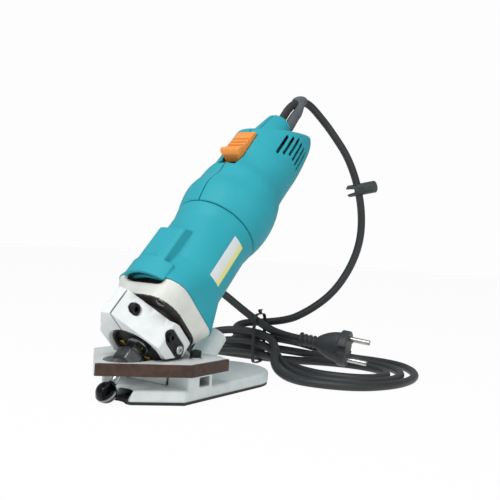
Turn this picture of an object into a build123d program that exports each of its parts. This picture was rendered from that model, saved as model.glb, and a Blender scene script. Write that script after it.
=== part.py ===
from build123d import *
import math
import os

# A hand-held edge router, in millimetres. The origin is the middle of the base's sole,
# +Z is up and the nose with the cutter faces -Y. The motor leans back over the base:
# along its axis a place is given as s, counted from the cutter ball's centre, and as
# x and n, where n is the distance from the axis towards the tool's top.

# Screw heads, as shares of the screw's own sizes
CAP_EDGE_SHARE = 0.08
KEY_SHARE = 1.6
KEY_DEPTH_SHARE = 0.55
PAN_ROUND_SHARE = 0.45
CROSS_SPAN_SHARE = 1.1
CROSS_WIDTH_SHARE = 0.26

# Base: an iron-shaped casting on a thin sole
BASE_LENGTH = 164.8
BASE_WIDTH = 81.2
NOSE_WIDTH = 27.4
SOLE_THICK = 2.0
SOLE_INSET = 0.5
BASE_TOP = 10.5
BASE_EDGE = 2.0
SCOOP_R = 15.8
CHANNEL_HALF = 7.0
CHANNEL_DEEP = 5.5
SOLE_SCREW_R = 1.5
SOLE_SCREW_HEAD = 3.0
SOLE_SCREW_LENGTH = 6.5
SOLE_SCREW_SINK = 0.3
SOLE_SCREW_PLACES = [(28.0, -8.0), (22.0, 54.0)]

# Posts that carry the fence, with a window for a square nut
POST_INNER = 20.0
POST_FRONT = -51.2
POST_LENGTH = 28.0
POST_TOP = 21.3
POST_ROOT = 3.0
WINDOW_FRONT = -39.4
WINDOW_LENGTH = 12.4
WINDOW_LOW = 11.2
WINDOW_HIGH = 18.0
WINDOW_INNER = 23.5
NUT_SIDE = 8.0
NUT_THICK = 4.0

# Dust spout behind the head
SPOUT_R = 10.0
SPOUT_BORE_R = 7.5
SPOUT_N = -66.5
SPOUT_END_S = 109.5
SPOUT_STOP_R = 6.5
SPOUT_STOP_S = 80.0
SPOUT_SEAT = 3.0

# Cutter, collet and spindle nose
SPINDLE_ANGLE = 45.0
CUTTER_R = 8.0
CUTTER_LIFT = 0.2
CUTTER_Y = -92.2
SHANK_R = 3.0
SHANK_END_S = 38.0
BLADE_THICK = 1.8
BLADE_DEPTH = 3.6
BALL_RELIEF = 0.4
GULLET_HALF = 5.2
NUT_FLATS = 19.0
NUT_FRONT_S = 23.0
NUT_REAR_S = 34.0
NUT_LIP = 1.0
NUT_EDGE = 1.6
NUT_BLUNT = 0.3
NUT_MOUTH_R = 4.0
COLLET_R = 4.5
COLLET_HEAD_R = 5.6
COLLET_HEAD_LENGTH = 3.0
COLLET_LENGTH = 15.0
COLLET_SLIT = 0.8
COLLET_SLIT_LENGTH = 10.5
THREAD_R = 6.0
SPANNER_R = 7.5
SPANNER_FLATS = 13.0
SPANNER_LENGTH = 8.0
COLLAR_R = 8.2
COLLAR_THICK = 1.5
SHOULDER_R = 6.2
SHAFT_R = 5.0
SHAFT_TAIL_R = 4.0
SHAFT_TAIL_S = 187.0
RUN_CLEAR = 0.05
FIT_CLEAR = 0.1
PART_CLEAR = 0.3

# Head casting: neck in the clamp, a rounded square flange against the motor housing
NECK_R = 20.0
NECK_FRONT_S = 40.0
HEAD_STEP = 0.3
HEAD_CORNER_R = 15.0
HEAD_FRONT_DRAFT = 4.0
HEAD_FRONT_CORNER_R = 20.0
FLANGE_S = 66.0
FLANGE_EDGE = 0.8
HOUSING_S = 81.0
SPIGOT_LENGTH = 7.0
HEAD_CAVITY_R = 25.0
HEAD_CAVITY_S = 72.0
HEAD_HOLE_R = 9.0
HEAD_HOLE_S = 62.0
HEAD_SCREW_INSET = 5.1
HEAD_SCREW_ANGLES = [52.0, 128.0, -38.0, -142.0]
HEAD_SCREW_R = 2.0
HEAD_SCREW_HEAD_R = 3.5
HEAD_SCREW_HEAD = 3.0
HEAD_SCREW_SINK = 4.0
HEAD_SCREW_LENGTH = 18.0
COVER_R = 18.0
COVER_THICK = 3.0
COVER_HOLE_R = 8.5
COVER_SINK = 4.0
COVER_SCREW_CIRCLE = 15.5
COVER_SCREW_R = 1.5
COVER_SCREW_HEAD_R = 2.8
COVER_SCREW_HEAD = 1.8
COVER_SCREW_LENGTH = 10.0
SCREW_ROOM = 1.0

# Bearings: outer radius, bore radius and width follow the shaft
FRONT_BEARING_R = 13.0
FRONT_BEARING_W = 8.0
REAR_BEARING_R = 11.0
REAR_BEARING_W = 7.0
REAR_BEARING_S = 196.5
RACE_THICK = 1.5
BALL_COUNT = 8
BALL_CLEAR = 0.1

# Split clamp bracket
BRACKET_FRONT_S = 38.0
BRACKET_REAR_S = 64.0
BRACKET_SIDE = 26.0
BRACKET_LEFT_SIDE = 23.6
BRACKET_TOP = 40.0
BRACKET_LEFT_LAND = 8.5
BRACKET_LEFT_KINK_N = 17.3
BRACKET_RIGHT_KINK_N = 6.8
BRACKET_CORNER_N = -18.0
BRACKET_FLOOR_N = -25.5
BRACKET_FLOOR_HALF = 18.5
BRACKET_UNDERSIDE_Z = 31.5
BRACKET_EDGE = 1.2
MOUTH_R = 22.0
MOUTH_DEPTH = 3.0
SLOT_HALF = 0.75
FOOT_HALF = 17.5
FOOT_FRONT_Y = -50.2
FOOT_REAR_Y = -12.2
FOOT_STEP = 0.5
FOOT_KNEE_SHARE = 0.62
FOOT_OVERLAP = 2.4
FOOT_SCREW_X = 13.0
FOOT_SCREW_YS = [-38.2, -20.2]
FOOT_SCREW_R = 2.5
FOOT_SCREW_HEAD = 4.5
FOOT_SCREW_LENGTH = 16.0
CLAMP_SCREW_N = 29.5
CLAMP_SCREW_S = 52.0
CLAMP_SCREW_R = 2.5
CLAMP_SCREW_HEAD_R = 4.25
CLAMP_SCREW_HEAD = 5.0
CLAMP_SCREW_SEAT_X = 4.2
CLAMP_SCREW_TAIL_X = -8.5

# Key plate on the bracket's right side, which keeps the head from turning
KEY_PLATE_LENGTH = 26.0
KEY_PLATE_WIDTH = 12.0
KEY_PLATE_THICK = 3.0
KEY_PLATE_SINK = 4.0
KEY_PLATE_N = -5.0
KEY_WIDTH = 4.8
KEY_LENGTH = 6.0
KEY_SHIFT = 2.6
KEY_TRAVEL = 4.0
KEY_DEPTH = 2.2
KEY_SCREW_R = 2.0
KEY_SCREW_NS = [2.0, -11.5]
KEY_SCREW_HEAD_R = 3.4
KEY_SCREW_HEAD = 2.4
KEY_SCREW_REACH = 1.4

# Fence: an aluminium plate with a wear strip on the right of its nose
FENCE_NOSE_Y = -106.2
FENCE_HALF = 48.0
FENCE_SIDE_END_Y = -13.7
FENCE_REAR_Y = -7.2
FENCE_REAR_HALF = 34.0
FENCE_THICK = 8.4
FENCE_CORNER_R = 3.0
STRIP_THICK = 3.0
FENCE_OPENING_R = 15.5
FENCE_CHANNEL_HALF = 19.0
FENCE_CHANNEL_Y = -63.0
FENCE_SCREW_X = 29.0
FENCE_SCREW_Y = -31.2
FENCE_TRAVEL = 3.0
FENCE_SCREW_R = 2.5
FENCE_SCREW_HEAD_R = 4.25
FENCE_SCREW_HEAD = 5.0
FENCE_SCREW_GAP = 1.0
WASHER_R = 5.0
WASHER_THICK = 1.0

# Motor housing with its air hood
HOUSING_R = 33.1
HOUSING_WALL = 2.8
HOUSING_FLARE = 0.2
FLARE_CORNER_R = 15.2
FLARE_END_S = 107.0
FLARE_END_GAP = 0.05
HOUSING_STRAIGHT_S = 152.0
SEAM_S = 163.0
SEAM_FLARE = 1.9
SEAM_GAP = 0.4
WEB_THICK = 3.0
TAIL_R = 29.0
TAIL_WALL = 2.5
TAIL_END_S = 206.0
BEARING_CUP_WALL = 2.5
TAIL_HOLE_COUNT = 6
TAIL_HOLE_R = 4.5
TAIL_HOLE_CIRCLE = 20.0
HOOD_RISE = 8.4
HOOD_R = 31.0
HOOD_HALF = 19.5
HOOD_REAR_HALF = 12.5
HOOD_FRONT_S = 78.0
HOOD_REAR_S = 131.5
HOOD_STEP_S = 93.0
HOOD_STEP = 0.6
HOOD_LIP = 2.6
HOOD_DUCT_END_S = 104.0
HOOD_FLOOR_DEPTH = 17.1
HOOD_SLOPE_LENGTH = 6.5
HOOD_STEP_LENGTH = 1.0
HOOD_SINK = 2.0
HOOD_WINDOW_LEAD = 2.0
HOUSING_BOSS_R = 4.0
HOUSING_BOSS_LENGTH = 9.0

# Motor: fan, baffle, armature, commutator, stator, field coils and brushes
FAN_R = 29.0
FAN_S = 92.5
FAN_DEPTH = 10.0
FAN_PLATE = 1.6
FAN_HUB_R = 9.0
FAN_BLADES = 14
FAN_BLADE_THICK = 1.4
BAFFLE_S = 105.0
BAFFLE_THICK = 2.0
BAFFLE_HOLE_R = 20.0
CORE_S = 122.0
CORE_LENGTH = 34.0
CORE_R = 17.6
CORE_SLOTS = 12
CORE_SLOT_WIDTH = 3.0
CORE_SLOT_DEPTH = 7.0
WINDING_R = 16.4
WINDING_BORE_R = 6.0
WINDING_LENGTH = 10.0
COMMUTATOR_R = 11.5
COMMUTATOR_S = 170.0
COMMUTATOR_LENGTH = 16.0
COMMUTATOR_BARS = 20
BAR_SLIT = 0.5
BAR_SLIT_DEPTH = 1.0
RISER_R = 13.0
RISER_LENGTH = 2.5
STATOR_S = 118.0
STATOR_LENGTH = 40.0
AIR_GAP = 0.6
STATOR_WINDOW_R = 27.0
STATOR_WINDOW_ANGLE = 36.0
COIL_IN_R = 20.3
COIL_OUT_R = 26.5
COIL_LEG_START = 12.0
COIL_LEG_END = 34.0
COIL_OVERHANG = 8.0
BRUSH_S = 179.0
BRUSH_WIDTH = 6.0
BRUSH_LENGTH = 9.0
BRUSH_OUT_R = 24.0
HOLDER_WALL = 1.4
HOLDER_IN_R = 13.2
HOLDER_OUT_R = 28.5
HOLDER_FLANGE = 1.5

# Handle: two halves that meet at x = 0
HANDLE_WALL = 2.6
BULGE_S = 181.0
BULGE_R = 38.5
WAIST_S = 218.0
WAIST_R = 33.3
SHOULDER_S = 259.0
SHOULDER_HANDLE_R = 33.3
REAR_S = 284.0
REAR_R = 31.6
DOME_S = 297.0
DOME_R = 28.7
HANDLE_END_S = 307.0
HANDLE_END_R = 14.0
WAIST_SLOPE = (-0.1, 1.0)
END_SLOPE = (-1.0, 0.05)
REAR_TOP_Z = 215.5
REAR_TOP_EDGE = 4.0
RIB_LENGTH = 5.0
RIB_STATIONS = [164.0, 199.0]
BOSS_N = 9.0
BOSS_R = 12.3
BOSS_END_S = 296.0
BOSS_ROOT_S = 254.0
BOSS_ROOT_N = 9.0
BOSS_ROOT_R = 19.7
VENT_COUNT = 6
VENT_WIDTH = 2.6
VENT_LENGTH = 24.5
VENT_S = 252.5
VENT_LOW_ANGLE = -13.5
VENT_STEP_ANGLE = 9.4
VENT_LEVEL_COUNT = 4
VENT_SHIFT = 4.2
VENT_IN_R = 27.0
HANDLE_SCREW_PLACES = [(211.5, 20.0), (212.0, -23.0), (259.0, -23.0), (256.5, 23.5)]
HANDLE_SCREW_R = 1.9
HANDLE_SCREW_HEAD_R = 3.4
HANDLE_SCREW_HEAD = 2.4
HANDLE_SCREW_SEAT_X = 14.0
HANDLE_SCREW_REACH = 10.0
HANDLE_BOSS_R = 4.2

# Slide switch
SWITCH_FRONT_S = 216.0
SWITCH_REAR_S = 252.0
SWITCH_WIDTH = 17.5
SWITCH_LIP_WIDTH = 20.0
SWITCH_LIP_LENGTH = 9.0
SWITCH_CREST_N = 40.4
SWITCH_NOSE_N = 37.0
SWITCH_LIP_END_N = 39.8
SWITCH_TREAD_N = 37.4
SWITCH_TAIL_N = 35.0
SWITCH_RAMP = 3.0
SWITCH_LIP_LIFT = 2.2
SWITCH_GROOVE_LEAD = 3.0
SWITCH_TRAVEL = 5.0
SWITCH_EDGE = 1.2
SWITCH_SLOT_CLEAR = 0.5
SWITCH_FLANGE_HALF = 11.5
SWITCH_FLANGE_R = 29.9
SWITCH_FLANGE_THICK = 1.8
SWITCH_GROOVES = 3
SWITCH_GROOVE_PITCH = 5.0
SWITCH_GROOVE_R = 1.1
TONGUE_HALF = 2.5
TONGUE_LENGTH = 6.0
TONGUE_DEPTH = 4.0
SWITCH_BLOCK_HALF = 7.0
SWITCH_BLOCK_TOP_N = 26.0
SWITCH_BLOCK_LOW_N = 11.0
SWITCH_BLOCK_S = 221.0
SWITCH_BLOCK_LENGTH = 26.0
CRADLE_THICK = 2.0
CRADLE_TALL = 9.0

# Mains cord, its clamp, relief, tie, clip and plug
CORD_R = 3.7
CORD_START_S = 259.0
CORD_CLEAR = 0.2
CORD_LEAD = 1.0
CORD_ARC_SHARE = 0.45
CORD_GAP_SKIP = 30.0
CLAMP_S = 261.5
CLAMP_LENGTH = 8.0
CLAMP_HALF = 12.0
CLAMP_THICK = 3.5
CLAMP_SCREW_X = 8.0
CLAMP_POST_R = 1.6
CLAMP_BOLT_HEAD_R = 2.9
CLAMP_BOLT_HEAD = 2.0
CLAMP_BOLT_LENGTH = 16.0
CLAMP_FLOOR = 5.0
CLAMP_FLOOR_LENGTH = 12.0
RELIEF_ROOT_R = 9.2
RELIEF_ROOT_S = 285.5
RELIEF_COLLAR_R = 10.6
RELIEF_COLLAR = 2.5
RELIEF_LENGTH = 46.0
RELIEF_START_R = 8.6
RELIEF_END_R = 6.6
RELIEF_RISE = 1.5
RELIEF_SECTIONS = 5
RELIEF_SLIT = 1.4
RELIEF_SLIT_LENGTH = 27.0
RELIEF_WALL = 1.3
RELIEF_OVERLAP = 0.8
RELIEF_LEAD = 0.3
CLIP_R = 5.8
CLIP_LENGTH = 29.0
CLIP_JAW = 10.5
CLIP_JAW_GAP = 2.6
CLIP_AT = 0.505
CLIP_EDGE = 1.0
TIE_WIDTH = 3.6
TIE_THICK = 0.9
TIE_LOW = 0.1
TIE_HIGH = 47.8
TIE_NEAR = 13.4
TIE_FAR = 10.6
TIE_CORNER_R = 3.5
TIE_END_LENGTH = 5.0
TIE_END_WIDTH = 2.5

# Plug: ribbed relief, flared body, notched disc and two pins
PLUG_RING_R = 6.6
PLUG_ROOT_R = 5.8
PLUG_CORE_R = 4.6
PLUG_RIB = 2.4
PLUG_RIB_PITCH = 4.3
PLUG_RIBS = 4
PLUG_RELIEF = 17.0
PLUG_BODY = 22.0
PLUG_MIDDLE_TALL = 11.9
PLUG_MIDDLE_WIDE = 7.7
PLUG_BODY_TALL = 14.0
PLUG_BODY_WIDE = 8.5
PLUG_DISC_R = 16.5
PLUG_DISC = 8.0
PLUG_DISC_EDGE = 1.0
PLUG_NOTCH = 7.0
PLUG_NOTCH_DEEP = 4.5
PIN_R = 2.4
PIN_LENGTH = 19.0
PIN_SPACING = 19.0
PIN_ROOT = 6.0
PIN_ROOT_R = 2.0
PIN_ROUND = 1.4

# Cord hank: loops drawn in at a tied waist, with a lobe on the right and one behind the tool.
# Reach is along the hank from its waist, near and far are across it.
HANK_LOOPS = 3
HANK_TURN = 8.0
WAIST_X = -27.0
WAIST_Y = 143.0
WAIST_HALF = 4.6
WAIST_SKEW = 18.0
LEVEL_LOW = 5.2
LEVEL_STEP = 10.0
RIGHT_SIDE_REACH = 88.0
RIGHT_TIP_REACH = 150.0
RIGHT_TIP_STEP = 12.0
RIGHT_NEAR = 78.0
RIGHT_FAR = 80.0
RIGHT_STEP = 22.0
LEFT_SIDE_REACH = 84.0
LEFT_TIP_REACH = 140.0
LEFT_TIP_STEP = 15.0
LEFT_HALF = 68.0
LEFT_STEP = 19.0
GAP_SAMPLE = 3.0

# Cord routes between the handle, the hank's waist and the plug, chosen by hand
DROP_ROUTE = [
    (0.5, 130.0, 247.0), (4.0, 151.5, 254.5), (14.8, 169.5, 237.2), (23.7, 178.2, 222.7),
    (34.1, 187.1, 204.5), (42.2, 195.1, 179.3), (46.5, 201.0, 150.0), (46.0, 201.5, 122.0),
    (39.5, 195.5, 95.5), (28.0, 184.5, 71.0), (11.0, 170.0, 53.0), (-8.0, 156.0, 41.0),
]
TAIL_ROUTE = [
    (-54.4, 143.8, 5.2), (-82.8, 137.7, 5.6), (-110.3, 130.3, 7.5), (-129.9, 124.5, 27.0),
    (-129.1, 122.1, 54.0), (-111.0, 122.6, 74.5), (-85.1, 125.0, 76.0), (-63.4, 128.8, 65.0),
    (-42.8, 133.2, 51.0), (-22.1, 137.1, 38.5), (-2.5, 140.9, 30.5), (17.1, 145.2, 28.5),
]

# Label
LABEL_S = 108.0
LABEL_LENGTH = 42.1
LABEL_LOW_ANGLE = -5.2
LABEL_ANGLE = 22.7
LABEL_THICK = 0.15
LABEL_GAP = 0.02

# Places that follow from the sizes above
CUTTER_Z = CUTTER_R + CUTTER_LIFT
AXIS_Y = math.cos(math.radians(SPINDLE_ANGLE))
AXIS_Z = math.sin(math.radians(SPINDLE_ANGLE))
SPINDLE = Plane(origin=(0, CUTTER_Y, CUTTER_Z), x_dir=(1, 0, 0), z_dir=(0, AXIS_Y, AXIS_Z))
NOSE_Y = -BASE_LENGTH / 2
REAR_ARC_Y = BASE_LENGTH / 2 - BASE_WIDTH / 2
FENCE_TOP = POST_TOP + FENCE_THICK
COVER_S = NECK_FRONT_S + COVER_SINK
KEY_FRONT_S = CLAMP_SCREW_S + KEY_SHIFT - KEY_LENGTH / 2
FRONT_BEARING_S = COVER_S + COVER_THICK
HOUSING_BORE_R = HOUSING_R - HOUSING_WALL
HEAD_HALF = HOUSING_R - HEAD_STEP
FLARE_HALF = HOUSING_R + HOUSING_FLARE
HEAD_SCREW_CIRCLE = HOUSING_R - HEAD_SCREW_INSET
SEAM_R = HOUSING_R + SEAM_FLARE
HOOD_CENTRE_N = HOUSING_R + HOOD_RISE - HOOD_R
HOOD_FLOOR_N = HOUSING_R - HOOD_FLOOR_DEPTH
TAIL_BORE_R = TAIL_R - TAIL_WALL
TALL = 400.0


def at(x, n, s):
    """A place by the motor's axis, in the spindle's own frame."""
    return Pos(x, -n, s)


def rod(radius, s0, s1, x=0.0, n=0.0):
    """A round bar along the motor's axis."""
    return at(x, n, (s0 + s1) / 2) * Cylinder(radius, s1 - s0)


def ring(outer, inner, s0, s1, x=0.0, n=0.0):
    return rod(outer, s0, s1, x, n) - rod(inner, s0, s1, x, n)


def cone(r0, r1, s0, s1):
    return at(0, 0, (s0 + s1) / 2) * Cone(r0, r1, s1 - s0)


def block(x0, x1, n0, n1, s0, s1):
    """A box between two values of x, n and s."""
    size = Box(x1 - x0, n1 - n0, s1 - s0)
    return at((x0 + x1) / 2, (n0 + n1) / 2, (s0 + s1) / 2) * size


def cross_rod(radius, x0, x1, n, s):
    """A round bar along X, across the motor's axis."""
    return at((x0 + x1) / 2, n, s) * Rot(0, 90, 0) * Cylinder(radius, x1 - x0)


def round_place(radius, angle):
    """x and n of a place on a circle round the axis, counted from +x towards the top."""
    turn = math.radians(angle)
    return radius * math.cos(turn), radius * math.sin(turn)


def sector(inner, outer, low, high, s0, s1):
    """A part of a ring between two angles, under a full turn."""
    sides = [round_place(r, a) for a in (low, high) for r in (inner, outer)]
    corners = [(x, -n) for x, n in sides]
    edges = [
        CenterArc((0, 0), outer, -high, high - low),
        CenterArc((0, 0), inner, -high, high - low),
        Line(corners[0], corners[1]),
        Line(corners[2], corners[3]),
    ]
    return extrude(Pos(0, 0, s0) * make_face(edges), s1 - s0)


def upright(radius, z0, z1, x=0.0, y=0.0):
    """A round bar along Z, in the tool's frame."""
    return Pos(x, y, (z0 + z1) / 2) * Cylinder(radius, z1 - z0)


def brick(x0, x1, y0, y1, z0, z1):
    """A box in the tool's frame."""
    return Pos((x0 + x1) / 2, (y0 + y1) / 2, (z0 + z1) / 2) * Box(x1 - x0, y1 - y0, z1 - z0)


def both_sides(solid):
    """A solid and its mirror image across x = 0."""
    return [solid, mirror(solid, Plane.YZ)]


def group(solids):
    return Compound(children=[s.solid() if hasattr(s, "solid") else s for s in solids])


def counter_sunk(shank, head, length, z0):
    """A countersunk screw that points up, with its head's flat at z0."""
    depth = head - shank
    taper = Pos(0, 0, z0 + depth / 2) * Cone(head, shank, depth)
    return taper + upright(shank, z0 + depth, z0 + length)


def hex_socket(flats, depth):
    """A hexagonal recess, sunk from z = 0 downwards."""
    return extrude(RegularPolygon(flats / math.sqrt(3), 6), -depth)


def cap_screw(shank, head, head_length, length):
    """A socket cap screw along -Z, with its head's seat at z = 0."""
    body = upright(head, 0, head_length) + upright(shank, -length, 0)
    top = body.faces().sort_by(Axis.Z)[-1]
    body = chamfer(top.edges(), head_length * CAP_EDGE_SHARE)
    return body - Pos(0, 0, head_length) * hex_socket(shank * KEY_SHARE, head_length * KEY_DEPTH_SHARE)


def cross_screw(shank, head, head_length, length):
    """A pan head screw along -Z with a cross recess, with its head's seat at z = 0."""
    body = upright(head, 0, head_length) + upright(shank, -length, 0)
    top = body.faces().sort_by(Axis.Z)[-1]
    body = fillet(top.edges(), head_length * PAN_ROUND_SHARE)
    arm = Box(head * CROSS_SPAN_SHARE, head * CROSS_WIDTH_SHARE, head_length)
    cross = arm + Rot(0, 0, 90) * arm
    return body - Pos(0, 0, head_length) * cross


def base_outline(inset):
    """The sole's outline: blunt nose, bevelled shoulders, straight sides, round tail."""
    half = BASE_WIDTH / 2 - inset
    nose = NOSE_WIDTH / 2 - inset * math.tan(math.radians(22.5))
    front = NOSE_Y + inset
    shoulder = front + half - nose
    sides = Polyline(
        (half, REAR_ARC_Y), (half, shoulder), (nose, front),
        (-nose, front), (-half, shoulder), (-half, REAR_ARC_Y),
    )
    tail = ThreePointArc((-half, REAR_ARC_Y), (0, REAR_ARC_Y + half), (half, REAR_ARC_Y))
    return make_face([sides, tail])


def scoop():
    return SPINDLE * rod(SCOOP_R, -2 * SCOOP_R, NECK_FRONT_S)


def sole_screw_spots():
    return [(side * x, y) for x, y in SOLE_SCREW_PLACES for side in (1, -1)]


def foot_screw_spots():
    return [(side * FOOT_SCREW_X, y) for y in FOOT_SCREW_YS for side in (1, -1)]


def base_sole():
    sole = extrude(base_outline(SOLE_INSET), SOLE_THICK) - scoop()
    for x, y in sole_screw_spots():
        sole -= Pos(x, y, 0) * upright(SOLE_SCREW_HEAD + FIT_CLEAR, 0, SOLE_THICK)
    return sole


def sole_screws():
    screw = counter_sunk(SOLE_SCREW_R, SOLE_SCREW_HEAD, SOLE_SCREW_LENGTH, SOLE_SCREW_SINK)
    return group([Pos(x, y, 0) * screw for x, y in sole_screw_spots()])


def base_plate():
    plate = extrude(Pos(0, 0, SOLE_THICK) * base_outline(0), BASE_TOP - SOLE_THICK)
    top = plate.faces().sort_by(Axis.Z)[-1]
    plate = fillet(top.edges(), BASE_EDGE)
    post = brick(POST_INNER, BASE_WIDTH / 2, POST_FRONT, POST_FRONT + POST_LENGTH,
                 BASE_TOP - POST_ROOT, POST_TOP)
    post = fillet(post.edges().filter_by(Axis.Z), BASE_EDGE)
    window = brick(WINDOW_INNER, BASE_WIDTH, WINDOW_FRONT, WINDOW_FRONT + WINDOW_LENGTH,
                   WINDOW_LOW, WINDOW_HIGH)
    hole = upright(FENCE_SCREW_R + PART_CLEAR, WINDOW_LOW, POST_TOP, FENCE_SCREW_X, FENCE_SCREW_Y)
    for solid in both_sides(post - window - hole):
        plate += solid
    plate -= scoop()
    spout_y = spout_place(BASE_TOP - SPOUT_SEAT)
    channel_end = spout_y + SPOUT_BORE_R / AXIS_Z
    plate -= brick(-CHANNEL_HALF, CHANNEL_HALF, CUTTER_Y, channel_end,
                   SOLE_THICK, SOLE_THICK + CHANNEL_DEEP)
    seat = SPINDLE * rod(SPOUT_R + RUN_CLEAR, 0, SPOUT_END_S, 0, SPOUT_N)
    plate -= seat & brick(-BASE_WIDTH, BASE_WIDTH, NOSE_Y, -NOSE_Y, BASE_TOP - SPOUT_SEAT, TALL)
    for x, y in sole_screw_spots():
        thread_top = SOLE_SCREW_SINK + SOLE_SCREW_LENGTH
        plate -= upright(SOLE_SCREW_R + RUN_CLEAR, SOLE_THICK, thread_top, x, y)
    sink = counter_sunk(FOOT_SCREW_R + FIT_CLEAR, FOOT_SCREW_HEAD + FIT_CLEAR, TALL, SOLE_THICK)
    for x, y in foot_screw_spots():
        plate -= Pos(x, y, 0) * sink & brick(-TALL, TALL, -TALL, TALL, 0, POST_TOP)
    return plate


def spout_place(z):
    """Y of the spout's axis at a height."""
    s = (z - CUTTER_Z - SPOUT_N * AXIS_Y) / AXIS_Z
    return CUTTER_Y + s * AXIS_Y - SPOUT_N * AXIS_Z


def dust_spout():
    tube = ring(SPOUT_R, SPOUT_STOP_R, 0, SPOUT_END_S, 0, SPOUT_N)
    tube -= rod(SPOUT_BORE_R, SPOUT_STOP_S, SPOUT_END_S, 0, SPOUT_N)
    return SPINDLE * tube & brick(-TALL, TALL, -TALL, TALL, BASE_TOP - SPOUT_SEAT, TALL)


def bracket_outline():
    """The clamp's section: a land and a flat each side of the slot, upright sides."""
    right_land = SLOT_HALF
    points = [
        (right_land, BRACKET_TOP), (BRACKET_SIDE, BRACKET_RIGHT_KINK_N),
        (BRACKET_SIDE, BRACKET_CORNER_N), (BRACKET_FLOOR_HALF, BRACKET_FLOOR_N),
        (-BRACKET_FLOOR_HALF, BRACKET_FLOOR_N), (-BRACKET_LEFT_SIDE, BRACKET_CORNER_N),
        (-BRACKET_LEFT_SIDE, BRACKET_LEFT_KINK_N), (-BRACKET_LEFT_LAND, BRACKET_TOP),
    ]
    return Polygon(*[(x, -n) for x, n in points])


def side_view(points, half):
    """A solid with a given outline of (y, z) points, as wide as twice half."""
    return extrude(Plane.YZ * Polygon(*points), half, both=True)


def bracket_foot():
    rear_low = SPINDLE.from_local_coords((0, -BRACKET_FLOOR_N, BRACKET_REAR_S + FOOT_STEP))
    rear_knee_z = rear_low.Z - (FOOT_REAR_Y - rear_low.Y) * FOOT_KNEE_SHARE
    rear_knee_y = rear_low.Y + rear_low.Z - rear_knee_z
    front_low = SPINDLE.from_local_coords((0, -BRACKET_FLOOR_N, BRACKET_FRONT_S))
    points = [
        (FOOT_FRONT_Y, BASE_TOP), (FOOT_REAR_Y, BASE_TOP), (rear_knee_y, rear_knee_z),
        (rear_low.Y, rear_low.Z), (front_low.Y, front_low.Z + FOOT_OVERLAP),
    ]
    return side_view(points, FOOT_HALF)


def key_plate_outline(margin):
    """The key plate's stadium, long along n, seen from its outer side."""
    return SlotOverall(KEY_PLATE_LENGTH + 2 * margin, KEY_PLATE_WIDTH + 2 * margin)


def on_key_side(solid, x):
    """Puts a solid made along +Z on the bracket's right side, with its z = 0 at x."""
    side = Plane(origin=(x, -KEY_PLATE_N, CLAMP_SCREW_S), x_dir=(0, -1, 0), z_dir=(1, 0, 0))
    return side * solid


def bracket():
    body = extrude(Pos(0, 0, BRACKET_FRONT_S) * bracket_outline(), BRACKET_REAR_S - BRACKET_FRONT_S)
    body = fillet(body.edges().filter_by(Axis.Z), BRACKET_EDGE)
    body = SPINDLE * body
    low = brick(-TALL, TALL, -TALL, TALL, 0, BRACKET_UNDERSIDE_Z)
    body -= low - brick(-FOOT_HALF, FOOT_HALF, -TALL, TALL, 0, TALL)
    body += bracket_foot()
    cuts = rod(NECK_R + RUN_CLEAR, 0, HOUSING_S)
    cuts += cone(MOUTH_R, NECK_R, BRACKET_FRONT_S, BRACKET_FRONT_S + MOUTH_DEPTH)
    cuts += block(-SLOT_HALF, SLOT_HALF, NECK_R / 2, TALL, 0, HOUSING_S)
    cuts += cross_rod(CLAMP_SCREW_R + RUN_CLEAR, -TALL, BRACKET_SIDE, CLAMP_SCREW_N, CLAMP_SCREW_S)
    cuts += cross_rod(CLAMP_SCREW_HEAD_R + PART_CLEAR, CLAMP_SCREW_SEAT_X, TALL,
                      CLAMP_SCREW_N, CLAMP_SCREW_S)
    recess = extrude(key_plate_outline(FIT_CLEAR), TALL)
    cuts += on_key_side(recess, BRACKET_SIDE - KEY_PLATE_SINK)
    cuts += key_block(FIT_CLEAR)
    for n in KEY_SCREW_NS:
        cuts += cross_rod(KEY_SCREW_R + RUN_CLEAR, 0, TALL, n, CLAMP_SCREW_S)
    body -= SPINDLE * cuts
    for x, y in foot_screw_spots():
        body -= upright(FOOT_SCREW_R + RUN_CLEAR, 0, SOLE_THICK + FOOT_SCREW_LENGTH, x, y)
    return body


def bracket_screws():
    screw = counter_sunk(FOOT_SCREW_R, FOOT_SCREW_HEAD, FOOT_SCREW_LENGTH, SOLE_THICK)
    return group([Pos(x, y, 0) * screw for x, y in foot_screw_spots()])


def clamp_screw():
    length = CLAMP_SCREW_SEAT_X - CLAMP_SCREW_TAIL_X
    screw = cap_screw(CLAMP_SCREW_R, CLAMP_SCREW_HEAD_R, CLAMP_SCREW_HEAD, length)
    place = at(CLAMP_SCREW_SEAT_X, CLAMP_SCREW_N, CLAMP_SCREW_S)
    return SPINDLE * place * Rot(0, 90, 0) * screw


def key_block(margin):
    """The key that runs in the neck's keyway, grown by a margin along n and s."""
    wide = KEY_WIDTH / 2 + margin
    deep = math.sqrt(NECK_R ** 2 - (KEY_WIDTH / 2 + abs(KEY_PLATE_N)) ** 2) - KEY_DEPTH / 2
    return block(deep, BRACKET_SIDE - KEY_PLATE_SINK, KEY_PLATE_N - wide, KEY_PLATE_N + wide,
                 KEY_FRONT_S - margin, KEY_FRONT_S + KEY_LENGTH + margin)


def guide_key():
    plate = extrude(key_plate_outline(0), KEY_PLATE_THICK)
    key = on_key_side(plate, BRACKET_SIDE - KEY_PLATE_SINK) + key_block(0)
    for n in KEY_SCREW_NS:
        key -= cross_rod(KEY_SCREW_R + FIT_CLEAR, 0, TALL, n, CLAMP_SCREW_S)
    return SPINDLE * key


def key_screw_length(n):
    """From the key plate's face to just short of the bore, at a height n."""
    seat = BRACKET_SIDE - KEY_PLATE_SINK + KEY_PLATE_THICK
    return seat - math.sqrt(NECK_R ** 2 - n ** 2) - KEY_SCREW_REACH


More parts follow.
